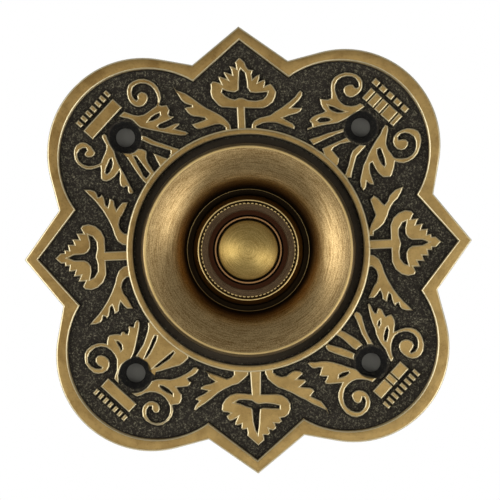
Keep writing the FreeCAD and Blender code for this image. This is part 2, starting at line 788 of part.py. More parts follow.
def make_bridge():
    """The contact bridge: a disc on the end of the stem."""
    body = new_body("contact_bridge")
    hole = size("bridge_shank") + size("screw_play")
    rim = spring_radius() - size("spring_wire") / 2 - size("bridge_gap")
    turned(body, "disc", [(hole, stem_end()), (rim, stem_end()), (rim, bridge_back()), (hole, bridge_back())])
    return body


def make_bridge_screw():
    """The cheese-head screw that holds the bridge on the stem."""
    body = new_body("bridge_screw")
    under = bridge_back()
    shank = size("bridge_shank")
    end = under + size("bridge_screw")
    head = size("bridge_head")
    back = under - size("bridge_head_thick")
    turned(body, "screw", [(ZERO, end), (shank, end), (shank, under), (head, under), (head, back), (ZERO, back)])
    slot = new_sketch(body, "slot", "XZ_Plane", back)
    half = size("slot_width") / 2
    wide = head + PAST
    add_outline(slot, [(-wide, -half), (wide, -half), (wide, half), (-wide, half)])
    cut_checked(body, "driver_slot", slot, size("slot_depth"), reverse=True)
    return body


# Contacts

def contact_face():
    """Height of the contact posts' heads."""
    return bridge_back() - size("travel") - size("contact_gap")


def base_front():
    """Height of the contact base's front face."""
    return contact_face() - size("post_rise")


def base_back():
    """Height of the contact base's rear face, where the snap ring holds it."""
    return base_front() - size("base_thick")


def snap_back():
    """Height of the snap ring's rear face."""
    return base_back() - size("snap_thick")


def barrel_back():
    """Height of the barrel's rear end."""
    return snap_back() - size("barrel_tail")


def snap_inner():
    """Inside of the snap ring."""
    return barrel_bore() - size("snap_lip")


def snap_outer():
    """Outside of the snap ring, in its groove."""
    return barrel_bore() + size("snap_grip")


def post_offset():
    """Contact posts from the button's axis."""
    return size("bridge_head") + size("post_gap") + size("post_head")


def tab_outer():
    """Outer face of a tab's leg from the button's axis."""
    return snap_inner() - size("tab_gap")


def terminal_axis():
    """Depth of the terminal screws' axis behind the wall."""
    return -barrel_back() + size("terminal_gap") + size("washer_radius")


def make_base():
    """The moulded base that carries the two contact posts."""
    body = new_body("contact_base")
    rim = barrel_bore() - size("base_play")
    turned(body, "disc", [(ZERO, base_front()), (rim, base_front()), (rim, base_back()), (ZERO, base_back())])
    holes = new_sketch(body, "post_circles", "XZ_Plane", base_back())
    for side in (1, -1):
        add_circle(holes, (post_offset() * side, ZERO), size("post_shank") + size("screw_play"))
    cut_checked(body, "post_holes", holes, size("base_thick"), reverse=True)
    return body


def make_split_ring(name, inner, outer, front, thick, opening):
    """A flat ring with a gap at its lowest point."""
    body = new_body(name)
    back = front - thick
    turned(body, "ring", [(inner, back), (outer, back), (outer, front), (inner, front)])
    far = outer + PAST
    across = far * math.tan(math.radians(opening.number / 2))
    gap = new_sketch(body, "gap", "XZ_Plane", back)
    add_outline(gap, [(ZERO, ZERO), (-across, -far), (across, -far)])
    cut_checked(body, "split", gap, thick, reverse=True)
    return body


def side_name(side):
    """The word for a side, seen from the front."""
    return "right" if side > 0 else "left"


def make_post(side):
    """A contact post: head in front of the base, shank through it, riveted over the tab."""
    body = new_body(side_name(side) + "_contact_post")
    rivet_seat = base_back() - size("tab_thick")
    steps = [
        ("shank", size("post_shank"), rivet_seat, base_front() - rivet_seat),
        ("head", size("post_head"), base_front(), size("post_rise")),
        ("rivet", size("post_rivet"), rivet_seat - size("rivet_thick"), size("rivet_thick")),
    ]
    for step, radius, start, length in steps:
        sketch = new_sketch(body, step + "_circle", "XZ_Plane", start)
        add_circle(sketch, (post_offset() * side, ZERO), radius)
        extruded(body, step, sketch, length)
    return body


def make_tab(side):
    """A bent terminal tab: foot on the base, leg standing out behind the barrel."""
    body = new_body(side_name(side) + "_terminal_tab")
    front = base_back()
    thick = size("tab_thick")
    bend = size("tab_bend")
    outer = tab_outer()
    leg = outer - thick
    toe = post_offset() - size("tab_toe")
    end = -(terminal_axis() + size("tab_tail"))
    points = [(toe, front), (outer - bend - thick, front), (outer, front - thick - bend), (outer, end),
              (leg, end), (leg, front - thick - bend), (leg - bend, front - thick), (toe, front - thick)]
    strip = new_sketch(body, "strip", "XY_Plane")
    arcs = {1: (bend + thick, -side), 5: (bend, side)}
    add_outline(strip, section([(across * side, height) for across, height in points]), arcs)
    extruded(body, "strip_pad", strip, size("tab_width"), middle=True)
    rivet = new_sketch(body, "rivet_circle", "XZ_Plane", front - thick)
    add_circle(rivet, (post_offset() * side, ZERO), size("post_shank") + size("screw_play"))
    cut_checked(body, "rivet_hole", rivet, thick, reverse=True)
    screw = new_sketch(body, "screw_circle", "YZ_Plane")
    add_circle(screw, (terminal_axis(), ZERO), size("terminal_shank") + size("screw_play"))
    cut_checked(body, "screw_hole", screw, outer + thick, reverse=side > 0)
    return body


def side_turned(body, name, points):
    """A feature turned about a terminal screw's axis from (across, radius) points."""
    sketch = new_sketch(body, name + "_section", "XY_Plane")
    depth = terminal_axis()
    add_outline(sketch, [(across, depth + radius) for across, radius in points])
    ends = (FreeCAD.Vector(0, depth.number, 0), FreeCAD.Vector(1, depth.number, 0))
    centre = sketch.addGeometry(Part.LineSegment(*ends), True)
    pin_point(sketch, centre, 1, (ZERO, depth))
    sketch.addConstraint(Sketcher.Constraint("Horizontal", centre))
    bind(sketch, "DistanceX", (centre, 1, centre, 2), as_size(1))
    feature = body.newObject("PartDesign::Revolution", name)
    feature.Profile = sketch
    feature.ReferenceAxis = (sketch, ["Axis0"])
    feature.Angle = 360
    doc.recompute()
    return feature


def make_washer(side):
    """A flat washer under a terminal screw's head."""
    body = new_body(side_name(side) + "_terminal_washer")
    near = tab_outer() * side
    far = (tab_outer() + size("washer_thick")) * side
    hole = size("terminal_shank") + size("screw_play")
    rim = size("washer_radius")
    side_turned(body, "washer", [(near, hole), (near, rim), (far, rim), (far, hole)])
    return body


def make_terminal_screw(side):
    """A slotted binding screw that clamps a bell wire to its tab."""
    body = new_body(side_name(side) + "_terminal_screw")
    under = tab_outer() + size("washer_thick")
    top = under + size("terminal_head_thick")
    shank = size("terminal_shank")
    head = size("terminal_head")
    tip = tab_outer() - size("tab_thick") - size("terminal_end")
    points = [(tip, ZERO), (tip, shank), (under, shank), (under, head), (top, head), (top, ZERO)]
    side_turned(body, "screw", [(across * side, radius) for across, radius in points])
    slot = new_sketch(body, "slot", "YZ_Plane", top * side)
    half = size("slot_width") / 2
    wide = head + PAST
    depth = terminal_axis()
    add_outline(slot, [(depth - half, -wide), (depth + half, -wide), (depth + half, wide), (depth - half, wide)])
    cut_checked(body, "driver_slot", slot, size("slot_depth"), reverse=side < 0)
    return body


# Spring and lock nut

# Corners of the spring's wire, which is drawn with flat sides.
WIRE_SIDES = 4


def make_spring():
    """The return spring between the button's flange and the base."""
    wire = NUMBERS["spring_wire"] / 2
    gap = NUMBERS["spring_seat_gap"] + wire
    front = flange_back().number - gap
    back = base_front().number + gap
    radius = spring_radius().number
    rise = front - back
    path = Part.makeHelix(rise / NUMBERS["spring_turns"], rise, radius)
    corners = []
    for index in range(WIRE_SIDES + 1):
        angle = 2 * math.pi * index / WIRE_SIDES
        corners.append(FreeCAD.Vector(radius + wire * math.cos(angle), 0, wire * math.sin(angle)))
    feature = doc.addObject("Part::Feature", "return_spring")
    feature.Label = "return_spring"
    feature.Shape = Part.Wire(path.Edges).makePipeShell([Part.makePolygon(corners)], True, True)
    feature.Placement = FreeCAD.Placement(FreeCAD.Vector(0, -back, 0), FreeCAD.Rotation(FreeCAD.Vector(1, 0, 0), 90))
    NAMES.append("return_spring")
    return feature


NUT_BEVEL_SLOPE = math.tan(math.radians(30))


def make_lock_nut():
    """The hexagon nut that clamps the barrel, dish and plate together."""
    body = new_body("lock_nut")
    thick = size("nut_thick")
    back = size("recess_depth") - size("lock_washer_thick") - thick
    corner = nut_corner()
    hexagon = new_sketch(body, "hexagon", "XZ_Plane", back)
    points = []
    for index in range(6):
        angle = math.radians(60 * index)
        points.append((corner * math.cos(angle), corner * math.sin(angle) if index % 3 else ZERO))
    add_outline(hexagon, points)
    extruded(body, "hexagon_pad", hexagon, thick)
    edge = size("nut_edge")
    far = corner + PAST
    turned(body, "corner_bevel",
           [(corner - edge, back), (far, back), (far, back + (edge + PAST) * NUT_BEVEL_SLOPE)],
           kind="PartDesign::Groove")
    bore = new_sketch(body, "bore", "XZ_Plane", back)
    add_circle(bore, (ZERO, ZERO), screwed_bore())
    cut_checked(body, "thread_bore", bore, thick, reverse=True)
    return body


make_plate()
make_dish()
make_ring_nut()
make_barrel()
make_button()
make_bridge()
make_bridge_screw()
make_base()
make_split_ring("snap_ring", snap_inner(), snap_outer(), base_back(), size("snap_thick"), size("snap_opening"))
for side in (-1, 1):
    make_post(side)
    make_tab(side)
    make_washer(side)
    make_terminal_screw(side)
make_spring()
make_split_ring("lock_washer", screwed_bore(), spigot() + size("washer_bearing"), size("recess_depth"),
                size("lock_washer_thick"), size("lock_washer_split"))
make_lock_nut()
doc.recompute()

# Every feature has to be sound before any file is written.

for item in doc.Objects:
    if "Invalid" in item.State or "Error" in item.State:
        raise RuntimeError("%s is %s" % (item.Label, item.State))
for name in NAMES:
    shape = doc.getObject(name).Shape
    if shape.isNull() or not shape.isValid() or not shape.Solids:
        raise RuntimeError("%s has no sound solid" % name)

os.makedirs("parts", exist_ok=True)
for name in NAMES:
    piece = doc.getObject(name)
    piece.Shape.exportStep("parts/%s.step" % name)
    box = piece.Shape.BoundBox
    print("%-24s %9.2f mm3  x %6.2f %6.2f  y %6.2f %6.2f  z %6.2f %6.2f" % (
        name, piece.Shape.Volume, box.XMin, box.XMax, box.YMin, box.YMax, box.ZMin, box.ZMax))
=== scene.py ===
"""Looks of an ornamental brass doorbell push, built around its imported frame.

Lengths in the classes are millimetres. X runs to the right, Z up, and the front looks along -Y.
A "height" is a distance in front of the wall, so it is the negative of Y.
"""

import json
import logging
import math
from dataclasses import dataclass
from enum import Enum

import bmesh
import bpy
from mathutils import Matrix, Vector

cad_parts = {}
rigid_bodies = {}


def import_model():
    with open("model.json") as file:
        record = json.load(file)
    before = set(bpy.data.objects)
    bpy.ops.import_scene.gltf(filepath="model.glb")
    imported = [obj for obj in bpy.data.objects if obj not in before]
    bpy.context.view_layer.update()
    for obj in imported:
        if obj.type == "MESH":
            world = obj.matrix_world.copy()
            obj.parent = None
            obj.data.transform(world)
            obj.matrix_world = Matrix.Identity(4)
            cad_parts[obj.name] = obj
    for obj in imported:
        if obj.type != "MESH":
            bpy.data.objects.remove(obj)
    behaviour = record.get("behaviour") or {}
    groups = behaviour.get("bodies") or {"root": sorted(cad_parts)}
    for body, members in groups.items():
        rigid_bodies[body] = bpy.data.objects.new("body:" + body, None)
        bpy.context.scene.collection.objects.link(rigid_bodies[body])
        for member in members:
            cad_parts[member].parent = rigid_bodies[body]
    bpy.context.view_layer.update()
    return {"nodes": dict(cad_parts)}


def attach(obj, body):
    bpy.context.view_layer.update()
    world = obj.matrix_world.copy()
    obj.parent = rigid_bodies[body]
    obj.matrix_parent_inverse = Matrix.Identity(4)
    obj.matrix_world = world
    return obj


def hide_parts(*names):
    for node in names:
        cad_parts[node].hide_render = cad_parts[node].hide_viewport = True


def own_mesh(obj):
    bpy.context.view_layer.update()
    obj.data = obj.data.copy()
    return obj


LOG = logging.getLogger("doorbell_push")
MM = 0.001
AXIS = Vector((0.0, -1.0, 0.0))

Point = tuple[float, float]
Colour = tuple[float, float, float]


class Body(Enum):
    """The frame's moving bodies."""

    PLATE = "plate"
    BUTTON = "button"


class Slot(Enum):
    """The record's material slots of the pieces that are made here."""

    ANTIQUE = "antique_brass"
    BRUSHED = "brushed_brass"
    BUTTON = "button_brass"
    SPRING = "spring_steel"


def linear(red: int, green: int, blue: int) -> Colour:
    """Scene-linear colour of an 8-bit display colour.

    Args:
        red: red, 0 to 255.
        green: green, 0 to 255.
        blue: blue, 0 to 255.

    Returns:
        The three linear components.
    """

    def curve(value: float) -> float:
        """Undo the display curve for one component.

        Args:
            value: the component, 0 to 1.

        Returns:
            The linear component.
        """
        if value <= 0.04045:
            return value / 12.92
        return ((value + 0.055) / 1.055) ** 2.4

    return curve(red / 255), curve(green / 255), curve(blue / 255)


class Signal:
    """A shader socket that takes part in arithmetic."""

    def __init__(self, tree: bpy.types.NodeTree, socket: bpy.types.NodeSocket) -> None:
        """Wrap a socket.

        Args:
            tree: the node tree that the socket belongs to.
            socket: the output that carries the value.
        """
        self.tree = tree
        self.socket = socket

    def _join(self, operation: str, first: "Signal | float",
              second: "Signal | float | None") -> "Signal":
        """Add a Math node over one or two values.

        Args:
            operation: the node's operation.
            first: its first value.
            second: its second value, or None where it takes one.

        Returns:
            The node's result.
        """
        node = self.tree.nodes.new("ShaderNodeMath")
        node.operation = operation
        for index, value in enumerate((first, second)):
            if isinstance(value, Signal):
                self.tree.links.new(value.socket, node.inputs[index])
            elif value is not None:
                node.inputs[index].default_value = value
        return Signal(self.tree, node.outputs[0])

    def __add__(self, other: "Signal | float") -> "Signal":
        """Sum."""
        return self._join("ADD", self, other)

    __radd__ = __add__

    def __sub__(self, other: "Signal | float") -> "Signal":
        """Difference."""
        return self._join("SUBTRACT", self, other)

    def __rsub__(self, other: float) -> "Signal":
        """Difference from a number."""
        return self._join("SUBTRACT", other, self)

    def __mul__(self, other: "Signal | float") -> "Signal":
        """Product."""
        return self._join("MULTIPLY", self, other)

    __rmul__ = __mul__

    def __pow__(self, other: "Signal | float") -> "Signal":
        """Power."""
        return self._join("POWER", self, other)

    def size(self) -> "Signal":
        """Absolute value."""
        return self._join("ABSOLUTE", self, None)

    def most(self, other: "Signal | float") -> "Signal":
        """The larger of two."""
        return self._join("MAXIMUM", self, other)

    def rise(self, low: float, high: float) -> "Signal":
        """A smooth step from 0 at low to 1 at high.

        Args:
            low: value at which the step starts.
            high: value at which it ends.

        Returns:
            The step.
        """
        node = self.tree.nodes.new("ShaderNodeMapRange")
        node.interpolation_type = "SMOOTHSTEP"
        self.tree.links.new(self.socket, node.inputs["Value"])
        node.inputs["From Min"].default_value = low
        node.inputs["From Max"].default_value = high
        return Signal(self.tree, node.outputs["Result"])

    def between(self, low: float, high: float, soft: float) -> "Signal":
        """A band that is 1 from low to high and fades over soft on both sides."""
        return self.rise(low - soft, low) * (1 - self.rise(high, high + soft))


class Bench:
    """Builds the nodes of one material or of the world."""

    def __init__(self, tree: bpy.types.NodeTree) -> None:
        """Clear a node tree.

        Args:
            tree: the node tree to fill.
        """
        self.tree = tree
        tree.nodes.clear()

    def node(self, kind: str, settings: dict | None = None,
             inputs: dict | None = None) -> bpy.types.Node:
        """Add any node.

        Args:
            kind: the node's type.
            settings: its properties, set before its sockets.
            inputs: values or signals by socket name or number.

        Returns:
            The node.
        """
        made = self.tree.nodes.new(kind)
        for name, value in (settings or {}).items():
            setattr(made, name, value)
        for name, value in (inputs or {}).items():
            if isinstance(value, Signal):
                self.tree.links.new(value.socket, made.inputs[name])
            elif value is not None:
                made.inputs[name].default_value = value
        return made

    def output(self, made: bpy.types.Node, name: str | int = 0) -> Signal:
        """One output of a node as a signal."""
        return Signal(self.tree, made.outputs[name])

    def place(self) -> tuple[Signal, Signal, Signal]:
        """Read the place on the piece.

        Returns:
            The three object coordinates in millimetres.
        """
        coordinates = self.node("ShaderNodeTexCoord")
        split = self.node("ShaderNodeSeparateXYZ", inputs={0: self.output(coordinates, "Object")})
        return tuple(self.output(split, axis) * 1000.0 for axis in range(3))

    def vector(self, x: Signal | float, y: Signal | float, z: Signal | float) -> Signal:
        """Three values as a vector."""
        return self.output(self.node("ShaderNodeCombineXYZ", inputs={0: x, 1: y, 2: z}))

    def noise(self, where: Signal, scale: float, detail: float = 3.0,
              rough: float = 0.55) -> Signal:
        """Noise from 0 to 1 about 0.5.

        Args:
            where: the place, as a vector.
            scale: features for each unit of that vector.
            detail: octaves.
            rough: share of the finer octaves.

        Returns:
            The noise.
        """
        made = self.node("ShaderNodeTexNoise", inputs={
            "Vector": where, "Scale": scale, "Detail": detail, "Roughness": rough})
        return self.output(made, "Fac")

    def blend(self, share: Signal | float, first: Signal | Colour,
              second: Signal | Colour) -> Signal:
        """Mix two colours.

        Args:
            share: how much of the second.
            first: a colour or signal.
            second: a colour or signal.

        Returns:
            The mixed colour.
        """
        made = self.node("ShaderNodeMix", {"data_type": "RGBA"}, {0: share})
        for index, value in ((6, first), (7, second)):
            if isinstance(value, Signal):
                self.tree.links.new(value.socket, made.inputs[index])
            else:
                made.inputs[index].default_value = (*value, 1.0)
        return self.output(made, 2)

    def bump(self, height: Signal, depth: float) -> Signal:
        """A normal from a height from 0 to 1.

        Args:
            height: the height.
            depth: what 1 stands for, in millimetres.

        Returns:
            The normal.
        """
        made = self.node("ShaderNodeBump", inputs={
            "Strength": 1.0, "Distance": depth * MM, "Height": height})
        return self.output(made, "Normal")

    def shade(self, colour: Signal, rough: Signal, metal: Signal | float, normal: Signal) -> None:
        """Finish the material with a Principled shader.

        Args:
            colour: base colour.
            rough: roughness.
            metal: how metallic it is.
            normal: a bumped normal.
        """
        shader = self.node("ShaderNodeBsdfPrincipled", inputs={
            "Base Color": colour, "Roughness": rough, "Metallic": metal, "Normal": normal})
        self.node("ShaderNodeOutputMaterial", inputs={0: self.output(shader)})


@dataclass(frozen=True)
class Finish:
    """A surface finish; each kind says how its material is made."""

    name: str

    def fill(self, bench: Bench) -> None:
        """Add the material's nodes."""
        raise NotImplementedError

    def material(self) -> bpy.types.Material:
        """Make the material, once.

        Returns:
            The material.
        """
        found = bpy.data.materials.get(self.name)
        if found:
            return found
        made = bpy.data.materials.new(self.name)
        made.use_nodes = True
        self.fill(Bench(made.node_tree))
        return made


@dataclass(frozen=True)
class CastBrass(Finish):
    """Aged cast brass: rubbed tops with painted shade towards the upper left, bright edges, walls
    darkened by tarnish and painted shade, and a nearly black grained ground.
    """

    rubbed: Colour = linear(208, 174, 110)
    mottled_and_shaded: Colour = linear(150, 118, 66)
    bright: Colour = linear(255, 240, 196)
    tarnish: Colour = linear(50, 43, 34)
    speck: Colour = linear(200, 192, 158)
    groove: Colour = linear(74, 64, 48)
    # Tarnish and painted shade of the steep walls.
    wall_tarnish_and_shade: Colour = linear(18, 12, 8)
    ground: float = 2.8
    top: float = 3.8
    hole_offset: float = 21.0
    hole_shadow: float = 3.0

    def fill(self, bench: Bench) -> None:
        """Add the material's nodes.

        Args:
            bench: where they go.
        """
        x, y, z = bench.place()
        height = 0.0 - y
        place = bench.vector(x, y, z)
        broad = bench.noise(place, 0.3, 4.0)
        fine = bench.noise(place, 2.6, 5.0, 0.7)
        grain = bench.noise(place, 2.8, 4.0, 0.8)
        pits = bench.noise(place, 1.1, 3.0, 0.6)
        raised = height.rise(self.ground + 0.5, self.top - 0.2)
        facing = bench.output(bench.node("ShaderNodeTexCoord"), "Normal")
        tilt = 1 - bench.output(bench.node("ShaderNodeSeparateXYZ", inputs={0: facing}), 1).size()
        edge = tilt.between(0.05, 0.62, 0.03) * height.rise(self.top - 0.35, self.top - 0.15)
        wall = tilt.rise(0.64, 0.74)
        wear_and_shade = broad.rise(0.42, 0.64) * 0.35 + fine.rise(0.5, 0.72) * 0.35
        # Painted shade: the tops are painted darker towards the upper left and lighter towards the
        # lower right, as the lamps fall on them; the noise above is wear.
        wear_and_shade = wear_and_shade + (z - x).rise(-50.0, 60.0) * 0.5
        tops = bench.blend(wear_and_shade, self.rubbed, self.mottled_and_shaded)
        dust = bench.noise(place, 6.5, 2.0, 0.7)
        specks = grain.rise(0.46, 0.7) * pits.rise(0.34, 0.6) * dust.rise(0.3, 0.6)
        floor = bench.blend(specks, self.tarnish, self.speck)
        radius = (x * x + z * z) ** 0.5
        floor = bench.blend(1 - radius.rise(20.0, 20.35), floor, self.groove)
        # Painted shade: the steep walls are painted nearly black, tarnish together with painted shade
        # in place of occlusion.
        body = bench.blend(wall * 0.92, bench.blend(raised, floor, tops), self.wall_tarnish_and_shade)
        colour = bench.blend(edge * (0.85 + fine * 0.3), body, self.bright)
        away = ((x.size() - self.hole_offset) ** 2.0 + (z.size() - self.hole_offset) ** 2.0) ** 0.5
        well = 1 - away.rise(self.hole_shadow - 0.3, self.hole_shadow)
        colour = bench.blend(well * 0.85, colour, (0.004, 0.004, 0.004))
        rough = 0.6 - raised * 0.24 + fine * 0.12
        metal = 0.3 + raised * 0.7
        lumps = (grain * 0.6 + pits * 0.6) * (1 - raised) + (pits * 0.12 + fine * 0.06) * raised
        bench.shade(colour, rough, metal, bench.bump(lumps, 0.45))


@dataclass(frozen=True)
class Band:
    """A ring of another tone on a turned piece, by radius and by height."""

    inner: float
    outer: float
    colour: Colour
    share: float = 1.0
    soft: float = 0.1
    above: float = -100.0


@dataclass(frozen=True)
class TurnedBrass(Finish):
    """Brass turned on a lathe about the button's axis, with fine rings and bands of other tones, many
    of them painted shade and painted highlights.
    """

    colour: Colour = linear(214, 184, 130)
    shadow: Colour = linear(138, 108, 62)
    bands: tuple[Band, ...] = ()
    rough: float = 0.34
    ring_scale: float = 7.0
    depth: float = 0.02

    def fill(self, bench: Bench) -> None:
        """Add the material's nodes.

        Args:
            bench: where they go.
        """
        x, y, z = bench.place()
        radius = (x * x + z * z) ** 0.5
        height = 0.0 - y
        spread = bench.vector(radius * self.ring_scale, x * 0.3 + y * self.ring_scale, z * 0.3)
        rings = bench.noise(spread, 1.0, 4.0, 0.8)
        grain = bench.noise(bench.vector(x, y, z), 6.0, 2.0, 0.7)
        broad = bench.noise(bench.vector(x, y, z), 0.25, 3.0)
        share = rings.rise(0.4, 0.62) * 0.65 + grain.rise(0.4, 0.62) * 0.55
        share = share + broad.rise(0.4, 0.7) * 0.1 - 0.1
        colour = bench.blend(share, self.colour, self.shadow)
        for band in self.bands:
            inside = radius.between(band.inner, band.outer, band.soft)
            inside = inside * height.rise(band.above, band.above + 0.1)
            colour = bench.blend(inside * band.share, colour, band.colour)
        relief = bench.bump(rings * 0.7 + grain * 0.3, self.depth)
        bench.shade(colour, self.rough + (rings - 0.5) * 0.2, 1.0, relief)


@dataclass(frozen=True)
class WorkedMetal(Finish):
    """Plain machined or plated metal of the parts behind the plate."""

    colour: Colour = linear(200, 170, 110)
    stain: Colour = linear(120, 96, 60)
    rough: float = 0.35
    grain_scale: float = 3.0

    def fill(self, bench: Bench) -> None:
        """Add the material's nodes.

        Args:
            bench: where they go.
        """
        x, y, z = bench.place()
        place = bench.vector(x, y, z)
        broad = bench.noise(place, self.grain_scale * 0.2, 3.0)
        fine = bench.noise(place, self.grain_scale * 3, 3.0)
        colour = bench.blend(broad.rise(0.4, 0.75) * 0.6, self.colour, self.stain)
        bench.shade(colour, self.rough + (fine - 0.5) * 0.25, 1.0, bench.bump(fine, 0.01))


@dataclass(frozen=True)
class MouldedResin(Finish):
    """Dark moulded insulation of the contact base."""

    colour: Colour = linear(58, 36, 24)
    flow: Colour = linear(34, 20, 14)

    def fill(self, bench: Bench) -> None:
        """Add the material's nodes.

        Args:
            bench: where they go.
        """
        x, y, z = bench.place()
        place = bench.vector(x, y, z)
        swirl = bench.noise(place, 0.6, 4.0)
        fine = bench.noise(place, 6.0, 2.0)
        colour = bench.blend(swirl.rise(0.35, 0.65), self.colour, self.flow)
        bench.shade(colour, 0.38 + fine * 0.15, 0.0, bench.bump(fine, 0.01))


THROAT_DARK = linear(26, 20, 14)
UMBER = linear(84, 60, 38)
# Painted highlight: thin bright lines on edges and crests of the turned pieces.
PAINTED_HIGHLIGHT = linear(246, 214, 144)
EMBER = linear(62, 36, 22)
PITCH = linear(14, 8, 4)
BRONZE = linear(92, 80, 60)

CAST = CastBrass("cast_brass")
DISH = TurnedBrass("brushed_dish", bands=(
    # The flare is painted darker towards its throat and nearly black at the foot of the hub.
    Band(0.0, 10.7, THROAT_DARK, 0.88, 2.9),
    Band(9.9, 10.8, PITCH, 0.9, 0.2),
    # Painted reflection: an orange-brown glow on the flank of the hub.
    Band(9.0, 9.55, linear(170, 126, 66), 0.85, 0.3),
    # Painted highlights on the hub's edge, the crease and the lip's crest.
    Band(8.78, 8.94, PAINTED_HIGHLIGHT, 0.9, 0.04, 6.3),
    Band(10.82, 10.9, PAINTED_HIGHLIGHT, 0.35, 0.05),
    Band(18.15, 18.4, PAINTED_HIGHLIGHT, 0.7, 0.12, 9.3),
    Band(18.6, 19.5, BRONZE, 0.9, 0.15, -10.0),
))
KNURLED = TurnedBrass(
    "knurled_brass", colour=linear(108, 88, 64), shadow=linear(72, 56, 40), rough=0.45,
    # Painted highlight on the knurled ring's outer edge.
    bands=(Band(8.24, 9.0, PAINTED_HIGHLIGHT, 0.75, 0.04),))
BARREL = TurnedBrass(
    "barrel_brass", colour=linear(206, 178, 128), shadow=linear(140, 108, 66), rough=0.36, bands=(
        # Painted shade: the bore and the sunk front face with its outer edge are painted dark.
        Band(0.0, 6.3, PITCH, 1.0, 0.05, 2.0),
        Band(6.35, 7.0, EMBER, 1.0, 0.1, 2.0),
        Band(7.03, 7.2, UMBER, 1.0, 0.04, 2.0),
        # Painted highlight on the top of the thin lip.
        Band(5.7, 5.9, linear(170, 128, 84), 1.0, 0.04, 6.7),
    ))
DOME = TurnedBrass(
    "mellow_dome", colour=linear(222, 192, 118), shadow=linear(176, 144, 78), rough=0.46,
    # Painted shade: the dome's edge and flange, down in the barrel, are painted nearly black.
    bands=(Band(5.25, 7.0, PITCH, 0.9, 0.1),))
CAST_BACK = WorkedMetal(
    "plain_casting", colour=linear(160, 130, 74), stain=linear(104, 82, 48), rough=0.5,
    grain_scale=1.6)
CONTACTS = WorkedMetal("worked_brass")
PLATED = WorkedMetal("dull_plating", colour=linear(188, 186, 180), stain=linear(120, 118, 112))
SPRING = WorkedMetal(
    "drawn_wire", colour=linear(170, 168, 164), stain=linear(90, 88, 84), rough=0.3)
RESIN = MouldedResin("moulded_resin")


